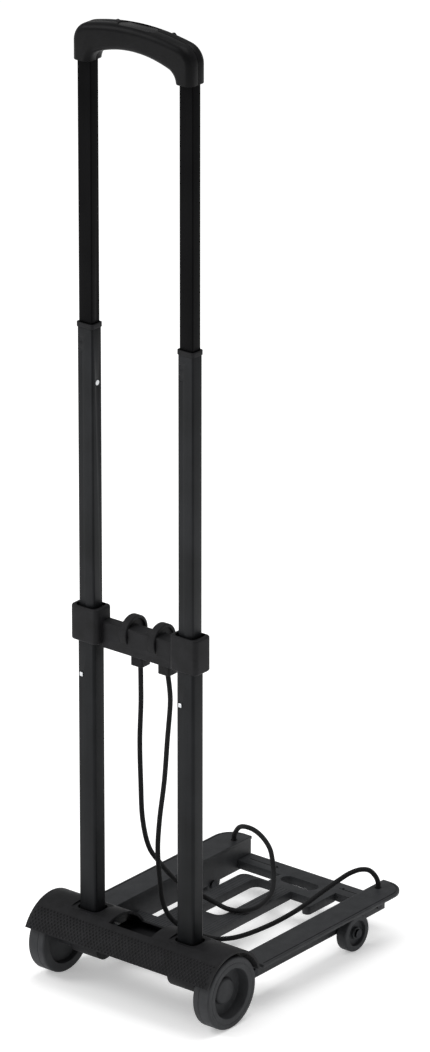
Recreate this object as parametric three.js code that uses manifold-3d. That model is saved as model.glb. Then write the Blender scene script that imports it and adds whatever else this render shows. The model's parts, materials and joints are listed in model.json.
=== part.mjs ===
// Folding luggage cart: two-stage telescoping mast, hooded rear axle base and folding platform.
// Millimetres, +Z up, +X to the right, +Y from the rear axle towards the platform's front.
// Sizes below are measured from the rear axle's centre line in Y and from the floor in Z; the whole
// assembly is then moved so that its origin is the bottom centre of its outline.
import * as THREE from 'three';
import { mergeVertices } from 'three/addons/utils/BufferGeometryUtils.js';
import Module from 'manifold-3d';

const wasm = await Module();
wasm.setup();

// ---- clearances -----------------------------------------------------------------------------
const gap = 0.3; // between two pieces that touch or slide on each other
const sideGap = 0.8; // beside a wheel or a knuckle that turns
const overlap = 2; // by which joined or cutting shapes run past each other

// ---- mast -----------------------------------------------------------------------------------
const mastSpacing = 121; // between the tubes' centre lines
const lowerTube = { width: 21, depth: 16.5, corner: 3.2 };
const tubeWall = 0.9;
const mastX = mastSpacing / 2;
const lowerTubeTop = 387;
const middleTubeTop = 674;
const handleTop = 980;
const handleHeight = 43; // from the underside of its legs to its top
const handleSocketZ = handleTop - handleHeight;
const handleSocketDepth = 18;
const middleTubeInsertion = 74; // length of the middle tube that stays inside the lower one
const upperTubeInsertion = 72;
const middleTravel = 258;
const upperTravel = 254;
const ferruleHeight = 5;
const ferruleLip = 0.9; // beyond the middle tube's sides
const footPlug = 6; // moulded feet plugged into the tubes' lower ends
const footFlange = 2;
const footDrain = 2.2;

// ---- rear axle, wheels and base housing -------------------------------------------------------
const wheelRadius = 36.5;
const wheelWidth = 19.5;
const axleRadius = 4;
const axleZ = wheelRadius;
const wheelHeadroom = 4.2; // between a wheel and the hood over it
const hoodWall = 2.8;
const hoodRadius = wheelRadius + wheelHeadroom + hoodWall;
const hoodBackZ = axleZ + 18.5; // lower edge of the hood at the back
const hoodFrontZ = axleZ + 13; // lower edge of the hood at the front
const socket = {
  width: lowerTube.width + 12,
  depth: lowerTube.depth + 13.5,
  corner: 5,
  top: axleZ + hoodRadius - 2,
  bottom: 27,
};
const fender = { gap: 3, thickness: 2.5 }; // inner side wall beside each wheel
const socketFloorZ = axleZ + 6.5;
const socketMouthDepth = 10;
const recessHalfWidth = 26.5;
const recessBackY = -17;
const recessFloorZ = axleZ + 23.5;
const recessTray = { bottom: axleZ + 14, thickness: 2.5, backY: -30 }; // floor under the recess
const socketMouthGap = 2.5; // round the tube, in the socket's mouth
const socketScrewZ = socketFloorZ + 5;
const screw = { shank: 2, head: 3.5, headHeight: 2.3, reach: 2 };
const screwSink = 0.5; // by which a shank runs into its head
const wheelEdge = 1.2;
const wheelRecess = { radius: 24.5, depth: 11.5, web: 2.5, hub: 8, boss: 13.5, innerRadius: 26 };
const capSetback = 7.5; // from the wheel's outer face to the axle cap's face
const capFloor = 1.6;

// ---- platform ---------------------------------------------------------------------------------
const platformFrontY = 275;
const railInnerX = mastX + socket.width / 2 + 5.5;
const railWidth = 31;
const railOuterX = railInnerX + railWidth;
const railTopZ = 50;
const railBottomZ = 20;
const railThickness = 3.5;
const railRearY = hoodRadius + 3;
const railCorner = 22;
const wheelOuterX = railOuterX - 1.5;
const hoodHalfLength = wheelOuterX + 1;
const deckTopZ = 32;
const deckDepth = 9;
const deckWall = 2.6;
const frontBarWidth = 22;
const gripSlot = { halfLength: 22, halfWidth: 7.5, y: platformFrontY - 28 };
const ribWidth = 17.5;
const leftRibX = -51; // centre line of the left rib
const middleRibX = -3.5; // centre line of the middle rib
const ribFrontY = platformFrontY - 43;
const windowRearY = 137;
const rearPlateFrontY = 98;
const cordHole = { x: railInnerX + 8, y: platformFrontY - 19, radius: 3.4 };
const frontWheel = {
  radius: 19,
  width: 12,
  y: platformFrontY - 63,
  standOff: 1.2,
  recess: 13,
  recessDepth: 4,
  boss: 6,
};
const frontWheelEar = 8;
const frontAxle = { radius: 2.5, head: 2, headRadius: 4.5 };
const frontBarInset = 2; // from the rails' front ends back to the front bar
const rearBarWidth = 17;
const railWallInset = 1.5;
const windowCorner = 9;
const gripLobe = { left: -28, right: 40, rearY: platformFrontY - 49 };
const stubLug = { left: 32, right: 42, rearY: platformFrontY - 68 };
const frontSlit = { inner: 38, outer: 75, y: platformFrontY - 13, halfWidth: 0.6, depth: 1.6 };
const railScrew = { engagement: 12, headHeight: 2.2 };
const railScrewPlaces = [
  { name: 'rear', y: 66, z: 27.5 },
  { name: 'front', y: platformFrontY - 13, z: 27.5 },
];

// ---- platform hinge ---------------------------------------------------------------------------
const hingeY = hoodRadius + 4.5;
const deckRearY = hingeY + 9;
const hingeZ = 46;
const hingePinRadius = 3;
const hingePinHead = { radius: 4.5, height: 2 };
const hingePinTip = 1; // beyond the outer lug
const knuckleRadius = 6;
const lugThickness = 6;

// ---- crossbar bracket -------------------------------------------------------------------------
const bracket = {
  width: lowerTube.width + 12,
  depth: lowerTube.depth + 7.5,
  corner: 5,
  bottom: 358,
  top: 394,
};
const beam = { back: -3, front: 10, bottom: 354, top: 381 };
const disc = { x: 17.3, y: 11, z: 373.5, radius: 16.8, thickness: 8, drum: 7.5 };
const discDish = { radius: 13.3, depth: 2.4 };
const shelf = { halfWidth: 27, front: 29, bottom: 352, top: 358 };
const anchor = {
  x: 16.6,
  y: 20.5,
  size: 14,
  corner: 2,
  height: 15.5,
  stemRadius: 2.8,
  barbRadius: 3.8,
  barbHeight: 3,
};
const bracketMouthGap = 2;
const bracketMouthReveal = 1; // of the lower tube's end above the mouth's floor
const bracketScrewZ = 368;

// ---- handle and release -----------------------------------------------------------------------
const handle = {
  depth: 25,
  legWidth: lowerTube.width - 1,
  rounding: 7,
  corner: 19,
  innerCorner: 13,
  gripHeight: 24,
  topLean: 13,
  underLean: 20,
};
const handleScrew = {
  x: 33,
  z: handleTop - 6,
  shank: 1.6,
  head: 3,
  headHeight: 2,
  depth: 5,
  seat: 9.2,
};
const button = { halfLength: 22, halfWidth: 7.5, height: 10, travel: 4, recess: 1.4 };
const yoke = { height: 4, halfDepth: 4, springX: 34, springPocket: 5.6 };
const rodClearance = 24; // from the lock button's centre up to the release rod's end
const springTurns = 5;
const rodRadius = 1.5;
const springRadius = 3.2;
const springWire = 0.45;

// ---- cords ------------------------------------------------------------------------------------
const cordRadius = 2.5;
const cordSteps = 56;
const cordKnot = { radius: 4.1, z: 39.5 };

// ---- materials --------------------------------------------------------------------------------
const material = (color, roughness, metalness = 0) =>
  new THREE.MeshStandardMaterial({ color, roughness, metalness });
const finish = {
  moulded: () => material(0x2c2d2f, 0.55),
  deck: () => material(0x38393b, 0.5),
  handle: () => material(0x242526, 0.42),
  button: () => material(0x18191a, 0.35),
  upperTube: () => material(0x18191a, 0.4, 0.5),
  tube: () => material(0x303133, 0.4, 0.6),
  steel: () => material(0xb8babd, 0.3, 0.9),
  tyre: () => material(0x46474a, 0.8),
  hub: () => material(0x3c3d40, 0.55),
  inner: () => material(0x6a6c70, 0.6),
  cord: () => material(0x1c1c1d, 0.85),
};

// ---- solid helpers ----------------------------------------------------------------------------
function solid(geometry) {
  const bare = geometry.clone();
  bare.deleteAttribute('normal');
  bare.deleteAttribute('uv');
  const merged = mergeVertices(bare, 1e-4);
  const vertProperties = new Float32Array(merged.attributes.position.array);
  const triVerts = new Uint32Array(merged.index.array);
  return new wasm.Manifold(new wasm.Mesh({ numProp: 3, vertProperties, triVerts }));
}

function geometryOf(manifold) {
  const mesh = manifold.getMesh();
  const geometry = new THREE.BufferGeometry();
  const stride = mesh.numProp;
  const position = new Float32Array((mesh.vertProperties.length / stride) * 3);
  for (let i = 0; i < position.length / 3; i++) {
    position.set(mesh.vertProperties.subarray(i * stride, i * stride + 3), i * 3);
  }
  geometry.setAttribute('position', new THREE.BufferAttribute(position, 3));
  geometry.setIndex(new THREE.BufferAttribute(new Uint32Array(mesh.triVerts), 1));
  return geometry;
}

const joined = (...solids) => solids.reduce((a, b) => a.add(b));
const cut = (body, ...tools) => tools.reduce((a, b) => a.subtract(b), body);

// Axis-aligned box given by its limits along X, Y and Z.
function box([x0, x1], [y0, y1], [z0, z1]) {
  const geometry = new THREE.BoxGeometry(x1 - x0, y1 - y0, z1 - z0);
  return solid(geometry.translate((x0 + x1) / 2, (y0 + y1) / 2, (z0 + z1) / 2));
}

// Cylinder along an axis from one coordinate to the other; centre holds the other two coordinates.
function rod(axis, radius, [from, to], [a, b], segments = 24) {
  const geometry = new THREE.CylinderGeometry(radius, radius, to - from, segments);
  const middle = (from + to) / 2;
  if (axis === 'x') return solid(geometry.rotateZ(Math.PI / 2).translate(middle, a, b));
  if (axis === 'y') return solid(geometry.translate(a, middle, b));
  return solid(geometry.rotateX(Math.PI / 2).translate(a, b, middle));
}

// Prism over an outline drawn in the XY plane.
function prismZ(shape, [z0, z1], curveSegments = 2) {
  const settings = { depth: z1 - z0, bevelEnabled: false, curveSegments };
  return solid(new THREE.ExtrudeGeometry(shape, settings).translate(0, 0, z0));
}

// Prism along X over an outline drawn with Y across and Z up.
function prismX(shape, [x0, x1], curveSegments = 4) {
  const settings = { depth: x1 - x0, bevelEnabled: false, curveSegments };
  const geometry = new THREE.ExtrudeGeometry(shape, settings);
  const turn = new THREE.Matrix4().set(0, 0, 1, x0, 1, 0, 0, 0, 0, 1, 0, 0, 0, 0, 0, 1);
  return solid(geometry.applyMatrix4(turn));
}

// Solid of revolution about an X axis through (y, z); the profile's points are [radius, x].
function turnedX(profile, [y, z], segments = 40) {
  const points = profile.map(([radius, x]) => new THREE.Vector2(radius, x));
  if (THREE.ShapeUtils.area(points) < 0) points.reverse();
  const geometry = new THREE.LatheGeometry(points, segments);
  return solid(geometry.rotateZ(-Math.PI / 2).translate(0, y, z));
}

function roundedRect([x0, x1], [y0, y1], radius) {
  const shape = new THREE.Shape();
  const r = Math.max(0.05, Math.min(radius, (x1 - x0) / 2 - 0.05, (y1 - y0) / 2 - 0.05));
  shape.moveTo(x0 + r, y0);
  shape.lineTo(x1 - r, y0);
  shape.absarc(x1 - r, y0 + r, r, -Math.PI / 2, 0, false);
  shape.lineTo(x1, y1 - r);
  shape.absarc(x1 - r, y1 - r, r, 0, Math.PI / 2, false);
  shape.lineTo(x0 + r, y1);
  shape.absarc(x0 + r, y1 - r, r, Math.PI / 2, Math.PI, false);
  shape.lineTo(x0, y0 + r);
  shape.absarc(x0 + r, y0 + r, r, Math.PI, 1.5 * Math.PI, false);
  return shape;
}

// Rounded rectangle centred on (x, y), for tube sections and everything fitted round them.
function section(x, y, { width, depth, corner }, grow = 0) {
  const w = width / 2 + grow;
  const d = depth / 2 + grow;
  return roundedRect([x - w, x + w], [y - d, y + d], Math.max(0.4, corner + grow));
}

function tubeInside(tube, clearance) {
  const inset = 2 * (tubeWall + clearance);
  const corner = Math.max(0.8, tube.corner - tubeWall - clearance);
  return { width: tube.width - inset, depth: tube.depth - inset, corner };
}

// ---- assembly ---------------------------------------------------------------------------------
const cart = new THREE.Group();
const hoodBackY = -Math.sqrt(hoodRadius ** 2 - (hoodBackZ - axleZ) ** 2);
cart.position.y = -(hoodBackY + platformFrontY) / 2;

function place(name, shape, look) {
  const geometry = shape.isBufferGeometry ? shape : geometryOf(shape);
  const mesh = new THREE.Mesh(geometry, look());
  mesh.name = name;
  cart.add(mesh);
}

const sides = [
  { side: 'left', sign: -1 },
  { side: 'right', sign: 1 },
];
const span = (sign, inner, outer) => (sign > 0 ? [inner, outer] : [-outer, -inner]);

// ---- mast tubes -------------------------------------------------------------------------------
const middleTube = tubeInside(lowerTube, gap);
const upperTube = tubeInside(middleTube, gap);
const middleTubeBottom = lowerTubeTop - middleTubeInsertion;
const upperTubeBottom = middleTubeTop - upperTubeInsertion;
const upperTubeTop = handleSocketZ + handleSocketDepth;
const upperLockZ = upperTubeBottom + 18;
const lowerLockZ = middleTubeBottom + 10;
const lockButtonRadius = 2.6;
const latchTab = { halfWidth: 2.6, halfHeight: 2.1, offset: -6, proud: 0.9 };

function hollowTube(x, tube, limits) {
  const inner = tubeInside(tube, 0);
  const outside = prismZ(section(x, 0, tube), limits);
  const bore = prismZ(section(x, 0, inner), [limits[0] - overlap, limits[1] + overlap]);
  return cut(outside, bore);
}

function lockHole(sign, tube, z) {
  const face = mastX - tube.width / 2;
  const reach = span(sign, face - overlap, face + 2 * overlap);
  return rod('x', lockButtonRadius + gap, reach, [0, z], 12);
}

function latchWindow(sign, z) {
  const x = sign * mastX + latchTab.offset;
  const w = latchTab.halfWidth + gap;
  const h = latchTab.halfHeight + gap;
  return box([x - w, x + w], [-lowerTube.depth / 2 - overlap, 0], [z - h, z + h]);
}

for (const { side, sign } of sides) {
  const x = sign * mastX;
  const lower = hollowTube(x, lowerTube, [socketFloorZ + gap, lowerTubeTop]);
  const middle = hollowTube(x, middleTube, [middleTubeBottom, middleTubeTop]);
  const upper = hollowTube(x, upperTube, [upperTubeBottom, upperTubeTop]);
  const screwHoles = [socketScrewZ, bracketScrewZ].map((z) =>
    rod('y', screw.shank + gap, [0, lowerTube.depth / 2 + overlap], [x, z], 12),
  );
  place(`lower_tube_${side}`, cut(lower, latchWindow(sign, lowerLockZ), ...screwHoles), finish.tube);
  const middleHoles = [lockHole(sign, middleTube, upperLockZ), latchWindow(sign, lowerLockZ)];
  place(`middle_tube_${side}`, cut(middle, ...middleHoles), finish.tube);
  place(`upper_tube_${side}`, cut(upper, lockHole(sign, upperTube, upperLockZ)), finish.upperTube);

  // Thin ferrule that closes the running gap at the middle tube's mouth.
  const skirtShape = section(x, 0, middleTube, ferruleLip);
  const skirt = prismZ(skirtShape, [middleTubeTop + gap, middleTubeTop + ferruleHeight]);
  const ferruleBore = section(x, 0, upperTube, gap);
  const bore = prismZ(ferruleBore, [middleTubeTop - overlap, middleTubeTop + ferruleHeight + overlap]);
  place(`middle_ferrule_${side}`, cut(skirt, bore), finish.moulded);

  // Feet: plugs in the tubes' lower ends, with a flange as large as the tube.
  const feet = [
    ['upper_foot', upperTube, upperTubeBottom],
    ['middle_foot', middleTube, middleTubeBottom],
  ];
  for (const [name, tube, bottom] of feet) {
    const plugShape = section(x, 0, tubeInside(tube, gap));
    const plug = prismZ(plugShape, [bottom - footFlange - gap, bottom + footPlug]);
    const flange = prismZ(section(x, 0, tube), [bottom - footFlange - gap, bottom - gap]);
    const drainReach = [bottom - footFlange - overlap, bottom + footPlug + overlap];
    const drain = rod('z', footDrain, drainReach, [x, 0], 12);
    place(`${name}_${side}`, cut(joined(plug, flange), drain), finish.inner);
  }
}

// Locking parts ride in the tubes: a leaf with a button on the inner face of each upper tube,
// and a leaf with a flat latch tab on the back face of each middle tube.
const leafThickness = 0.8;
const leafBite = 0.4; // by which a button or tab is sunk into its leaf
const snapLeaf = { halfWidth: 3, below: 8, above: 16, proud: 1.1 };
const latchLeaf = { left: 1.2, right: 7, below: 3, above: 20 };
for (const { side, sign } of sides) {
  const innerFace = mastX - upperTube.width / 2 + tubeWall + gap;
  const buttonFrom = mastX - middleTube.width / 2 - snapLeaf.proud;
  const leafX = span(sign, innerFace, innerFace + leafThickness);
  const leafY = [-snapLeaf.halfWidth, snapLeaf.halfWidth];
  const leaf = box(leafX, leafY, [upperLockZ - snapLeaf.below, upperLockZ + snapLeaf.above]);
  const stubReach = span(sign, buttonFrom, innerFace + leafBite);
  const stub = rod('x', lockButtonRadius, stubReach, [0, upperLockZ], 12);
  place(`upper_snap_clip_${side}`, joined(leaf, stub), finish.steel);

  const tabX = sign * mastX + latchTab.offset;
  const backWall = -middleTube.depth / 2 + tubeWall + gap;
  const tabBack = -lowerTube.depth / 2 - latchTab.proud;
  const tabLeaf = box(
    [tabX - latchLeaf.left, tabX + latchLeaf.right],
    [backWall, backWall + leafThickness],
    [lowerLockZ - latchLeaf.below, lowerLockZ + latchLeaf.above],
  );
  const tab = box(
    [tabX - latchLeaf.left, tabX + latchTab.halfWidth],
    [tabBack, backWall + leafBite],
    [lowerLockZ - latchTab.halfHeight, lowerLockZ + latchTab.halfHeight],
  );
  place(`middle_snap_clip_${side}`, joined(tabLeaf, tab), finish.steel);
}

// ---- base housing -------------------------------------------------------------------------------
const hoodInner = hoodRadius - hoodWall;
const wheelInnerX = wheelOuterX - wheelWidth;
const hoodAngle = (z) => Math.asin((z - axleZ) / hoodRadius);

function hoodSection(outer, inner) {
  const shape = new THREE.Shape();
  const front = hoodAngle(hoodFrontZ);
  const back = Math.PI - hoodAngle(hoodBackZ);
  shape.absarc(0, axleZ, outer, front, back, false);
  shape.absarc(0, axleZ, inner, back, front, true);
  return shape;
}

const fenderOuterX = wheelInnerX - fender.gap;
const fenderInnerX = fenderOuterX - fender.thickness;

// Arm along Y with a round end about the hinge axis, seen from the side.
function hingeArm(fromY, bottom, top) {
  const shape = new THREE.Shape();
  shape.moveTo(fromY, bottom);
  shape.lineTo(hingeY, bottom);
  shape.absarc(hingeY, hingeZ, knuckleRadius, -Math.PI / 2, Math.PI / 2, false);
  shape.lineTo(fromY, top);
  return shape;
}

function baseHousing() {
  let body = prismX(hoodSection(hoodRadius, hoodInner), [-hoodHalfLength, hoodHalfLength], 9);
  const lugBottom = hingeZ - knuckleRadius;
  const lugTop = hingeZ + knuckleRadius;
  const above = hoodRadius + axleZ + overlap;
  for (const { sign } of sides) {
    const x = sign * mastX;
    const wallX = span(sign, fenderInnerX, fenderOuterX);
    const disc = rod('x', hoodRadius - hoodWall / 2, wallX, [0, axleZ], 32);
    const wallSpan = span(sign, fenderInnerX - overlap, fenderOuterX + overlap);
    const below = box(wallSpan, [-hoodRadius, hoodRadius], [axleZ - hoodRadius, hoodBackZ]);
    body = cut(body, prismZ(section(x, 0, socket), [socket.top, above]));
    const socketInner = mastX - socket.width / 2;
    const socketOuter = mastX + socket.width / 2;
    const bossZ = socket.bottom + socket.depth / 2;
    const upright = prismZ(section(x, 0, socket), [bossZ, socket.top]);
    const boss = rod('x', socket.depth / 2, span(sign, socketInner, socketOuter), [0, bossZ], 28);
    body = joined(body, cut(disc, below), upright, boss);
    const lugShape = hingeArm(socket.depth / 2 - overlap, lugBottom, lugTop);
    for (const lugX of [
      span(sign, socketInner, socketInner + lugThickness),
      span(sign, socketOuter - lugThickness, socketOuter),
    ]) {
      body = joined(body, prismX(lugShape, lugX));
    }
    body = cut(
      body,
      prismZ(section(x, 0, lowerTube, gap), [socketFloorZ, above]),
      prismZ(section(x, 0, lowerTube, socketMouthGap), [socket.top - socketMouthDepth, above]),
      rod('y', screw.shank + gap, [0, socket.depth / 2 + overlap], [x, socketScrewZ], 16),
    );
    const pinReach = span(sign, socketInner - overlap, socketOuter + overlap);
    body = cut(body, rod('x', hingePinRadius + gap, pinReach, [hingeY, hingeZ], 24));
  }
  const recess = box(
    [-recessHalfWidth, recessHalfWidth],
    [recessBackY, hoodRadius + overlap],
    [recessFloorZ, above],
  );
  const axleBore = rod('x', axleRadius + gap, [-hoodHalfLength, hoodHalfLength], [0, axleZ], 24);
  const trayTop = recessTray.bottom + recessTray.thickness;
  const trayFrontY = Math.sqrt(hoodInner ** 2 - (trayTop - axleZ) ** 2) + hoodWall / 2;
  const trayReach = mastX - socket.width / 2 + overlap / 2;
  const tray = box([-trayReach, trayReach], [recessTray.backY, trayFrontY], [recessTray.bottom, trayTop]);
  return joined(cut(body, recess, axleBore), tray);
}
place('base_housing', baseHousing(), finish.moulded);

// Screw along Y whose head bears on a face looking forwards.
function screwAlongY(x, z, tipY, faceY) {
  const shank = rod('y', screw.shank, [tipY, faceY + gap + screwSink], [x, z], 12);
  const head = rod('y', screw.head, [faceY + gap, faceY + gap + screw.headHeight], [x, z], 14);
  return joined(shank, head);
}

// ---- rear axle and wheels -----------------------------------------------------------------------
const webOuterX = wheelOuterX - wheelRecess.depth;
const webInnerX = webOuterX - wheelRecess.web;
const capOuterX = wheelOuterX - capSetback;
const axleHalfLength = capOuterX - capFloor;
place('rear_axle', rod('x', axleRadius, [-axleHalfLength, axleHalfLength], [0, axleZ]), finish.steel);

function rearWheel(sign) {
  const hubEnd = mastX + socket.width / 2 + sideGap;
  const profile = [
    [axleRadius + gap, hubEnd],
    [wheelRecess.hub, hubEnd],
    [wheelRecess.hub, webInnerX],
    [wheelRecess.innerRadius, webInnerX],
    [wheelRecess.innerRadius + 1, wheelInnerX],
    [wheelRadius - wheelEdge, wheelInnerX],
    [wheelRadius, wheelInnerX + wheelEdge],
    [wheelRadius, wheelOuterX - wheelEdge],
    [wheelRadius - wheelEdge, wheelOuterX],
    [wheelRecess.radius, wheelOuterX],
    [wheelRecess.radius - 0.6, webOuterX],
    [axleRadius + gap, webOuterX],
    [axleRadius + gap, hubEnd],
  ];
  return turnedX(profile.map(([r, x]) => [r, sign * x]), [0, axleZ], 32);
}

function axleCap(sign) {
  const profile = [
    [0, capOuterX],
    [wheelRecess.boss - 1, capOuterX],
    [wheelRecess.boss, capOuterX - 1],
    [wheelRecess.boss, webOuterX + gap],
    [axleRadius + gap, webOuterX + gap],
    [axleRadius + gap, axleHalfLength + gap],
    [0, axleHalfLength + gap],
  ];
  return turnedX(profile.map(([r, x]) => [r, sign * x]), [0, axleZ], 20);
}

for (const { side, sign } of sides) {
  place(`rear_wheel_${side}`, rearWheel(sign), finish.tyre);
  place(`axle_cap_${side}`, axleCap(sign), finish.hub);
  const x = sign * mastX;
  const socketFace = socket.depth / 2;
  const socketTip = lowerTube.depth / 2 - tubeWall - screw.reach;
  place(`socket_screw_${side}`, screwAlongY(x, socketScrewZ, socketTip, socketFace), finish.steel);

  const inner = mastX - socket.width / 2;
  const outer = mastX + socket.width / 2;
  const pinReach = span(sign, inner - hingePinHead.height, outer + hingePinTip);
  const pin = rod('x', hingePinRadius, pinReach, [hingeY, hingeZ], 24);
  const headReach = span(sign, inner - hingePinHead.height, inner - gap);
  const pinHead = rod('x', hingePinHead.radius, headReach, [hingeY, hingeZ], 24);
  place(`hinge_pin_${side}`, joined(pin, pinHead), finish.steel);
}

// ---- crossbar bracket ---------------------------------------------------------------------------
function crossbarBracket() {
  const reach = mastX - bracket.width / 2 + overlap;
  let body = box([-reach, reach], [beam.back, beam.front], [beam.bottom, beam.top]);
  const shelfY = [beam.front - overlap, shelf.front];
  const shelfShape = roundedRect([-shelf.halfWidth, shelf.halfWidth], shelfY, 3);
  body = joined(body, prismZ(shelfShape, [shelf.bottom, shelf.top]));
  const discPlace = [disc.y, disc.z];
  const drum = rod('x', disc.drum, [-disc.x, reach], discPlace, 16);
  for (const { sign } of sides) {
    const x0 = sign * disc.x - disc.thickness / 2;
    const x1 = sign * disc.x + disc.thickness / 2;
    const dished = [
      [0, x0],
      [disc.drum, x0],
      [disc.drum, x0 + discDish.depth],
      [discDish.radius, x0 + discDish.depth],
      [discDish.radius, x0],
      [disc.radius - 1, x0],
      [disc.radius, x0 + 1],
      [disc.radius, x1 - 1],
      [disc.radius - 1, x1],
      [discDish.radius, x1],
      [discDish.radius, x1 - discDish.depth],
      [disc.drum, x1 - discDish.depth],
      [disc.drum, x1],
      [0, x1],
    ];
    body = joined(body, turnedX(dished, discPlace, 24));
  }
  body = joined(body, drum);
  for (const { sign } of sides) {
    const x = sign * mastX;
    body = joined(body, prismZ(section(x, 0, bracket), [bracket.bottom, bracket.top]));
  }
  for (const { sign } of sides) {
    const x = sign * mastX;
    const bore = [bracket.bottom - overlap, bracket.top + overlap];
    const mouth = [lowerTubeTop - bracketMouthReveal, bracket.top + overlap];
    const anchorPlace = [sign * anchor.x, anchor.y];
    body = cut(
      body,
      prismZ(section(x, 0, lowerTube, gap), bore),
      prismZ(section(x, 0, lowerTube, bracketMouthGap), mouth),
      rod('y', screw.shank + gap, [0, bracket.depth / 2 + overlap], [x, bracketScrewZ], 16),
      rod('z', anchor.stemRadius + gap, [shelf.bottom - overlap, shelf.top + overlap], anchorPlace),
      rod('z', anchor.barbRadius + gap, [shelf.top, shelf.top + anchor.barbHeight + 2 * gap], anchorPlace),
    );
  }
  return body;
}
place('crossbar_bracket', crossbarBracket(), finish.moulded);

for (const { side, sign } of sides) {
  const x = sign * anchor.x;
  const top = shelf.bottom - gap;
  const half = anchor.size / 2;
  const block = prismZ(
    roundedRect([x - half, x + half], [anchor.y - half, anchor.y + half], anchor.corner),
    [top - anchor.height, top],
  );
  const stemTop = shelf.top + gap + anchor.barbHeight;
  const stem = rod('z', anchor.stemRadius, [top - overlap, stemTop - 0.5], [x, anchor.y], 24);
  const barb = rod('z', anchor.barbRadius, [shelf.top + gap, stemTop], [x, anchor.y], 24);
  place(`cord_anchor_${side}`, joined(block, stem, barb), finish.moulded);
  const bracketTip = lowerTube.depth / 2 - tubeWall + gap;
  const bracketScrew = screwAlongY(sign * mastX, bracketScrewZ, bracketTip, bracket.depth / 2);
  place(`bracket_screw_${side}`, bracketScrew, finish.steel);
}

// ---- handle -------------------------------------------------------------------------------------
const handleHalfWidth = mastX + handle.legWidth / 2;
const gripInnerX = mastX - handle.legWidth / 2;

// Outline in X and Z: straight legs, round corners and an arched top and underside.
function handleOutline() {
  const shape = new THREE.Shape();
  const legEnd = handleSocketZ - 12;
  const lean = THREE.MathUtils.degToRad(handle.topLean);
  const cornerX = handleHalfWidth - handle.corner;
  const shoulderX = cornerX + handle.corner * Math.sin(lean);
  const rise = shoulderX * Math.tan(lean);
  const shoulderZ = handleTop - rise / 2;
  const cornerZ = shoulderZ - handle.corner * Math.cos(lean);
  const under = THREE.MathUtils.degToRad(handle.underLean);
  const archX = gripInnerX - handle.innerCorner * (1 - Math.sin(under));
  const archRise = archX * Math.tan(under);
  const archZ = handleTop - handle.gripHeight - archRise / 2;
  const innerZ = archZ - handle.innerCorner * Math.cos(under);
  shape.moveTo(handleHalfWidth, legEnd);
  shape.lineTo(handleHalfWidth, cornerZ);
  shape.absarc(cornerX, cornerZ, handle.corner, 0, Math.PI / 2 - lean, false);
  shape.quadraticCurveTo(0, shoulderZ + rise, -shoulderX, shoulderZ);
  shape.absarc(-cornerX, cornerZ, handle.corner, Math.PI / 2 + lean, Math.PI, false);
  shape.lineTo(-handleHalfWidth, legEnd);
  shape.lineTo(-gripInnerX, legEnd);
  const innerX = gripInnerX - handle.innerCorner;
  shape.absarc(-innerX, innerZ, handle.innerCorner, Math.PI, Math.PI / 2 + under, true);
  shape.quadraticCurveTo(0, archZ + archRise, archX, archZ);
  shape.absarc(innerX, innerZ, handle.innerCorner, Math.PI / 2 - under, 0, true);
  shape.lineTo(gripInnerX, legEnd);
  return shape;
}

function handleBlank() {
  const settings = {
    depth: handle.depth - 2 * handle.rounding,
    bevelEnabled: true,
    bevelThickness: handle.rounding,
    bevelSize: handle.rounding,
    bevelOffset: -handle.rounding,
    bevelSegments: 3,
  };
  const points = handleOutline().getPoints(3);
  const distinct = points.filter((p, i) => p.distanceTo(points.at(i - 1)) > 0.01);
  const geometry = new THREE.ExtrudeGeometry(new THREE.Shape(distinct), settings);
  geometry.translate(0, 0, -settings.depth / 2).rotateX(Math.PI / 2);
  const blank = solid(geometry);
  const wide = handleHalfWidth + overlap;
  return cut(blank, box([-wide, wide], [-handle.depth, handle.depth], [handleSocketZ - 40, handleSocketZ]));
}

const buttonBottom = handleTop - button.recess - button.height;
const yokeTop = buttonBottom - gap;
const yokeBottom = yokeTop - yoke.height;
const channelFloor = yokeBottom - button.travel - gap;
const springSeat = channelFloor - yoke.springPocket;

function handleCavities() {
  const pocket = roundedRect(
    [-button.halfLength - gap, button.halfLength + gap],
    [-button.halfWidth - gap, button.halfWidth + gap],
    button.halfWidth + gap,
  );
  const channelX = mastX + yoke.halfDepth + gap;
  const channelY = yoke.halfDepth + gap;
  const tools = [
    prismZ(pocket, [yokeTop - button.travel, handleTop + overlap], 4),
    box([-channelX, channelX], [-channelY, channelY], [channelFloor, yokeTop + gap]),
  ];
  for (const { sign } of sides) {
    const x = sign * mastX;
    tools.push(prismZ(section(x, 0, upperTube, gap), [handleSocketZ - overlap, upperTubeTop + gap]));
    tools.push(rod('z', rodRadius + sideGap, [upperTubeTop, channelFloor + overlap], [x, 0], 16));
    const springPlace = [sign * yoke.springX, 0];
    tools.push(rod('z', springRadius + gap, [springSeat, channelFloor + overlap], springPlace, 24));
    const screwPlace = [sign * handleScrew.x, handleScrew.z];
    const shankReach = [-handleScrew.depth - gap, handle.depth];
    tools.push(rod('y', handleScrew.shank + gap, shankReach, screwPlace, 16));
    tools.push(rod('y', handleScrew.head + gap, [handleScrew.seat, handle.depth], screwPlace, 20));
  }
  return tools;
}

const hollowHandle = cut(handleBlank(), ...handleCavities());
for (const [name, frontY, backY] of [
  ['handle_back_shell', -gap / 2, -handle.depth],
  ['handle_front_shell', handle.depth, gap / 2],
]) {
  const wide = handleHalfWidth + overlap;
  const half = box([-wide, wide], [backY, frontY], [handleSocketZ - overlap, handleTop + overlap]);
  place(name, hollowHandle.intersect(half), finish.handle);
}

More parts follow.
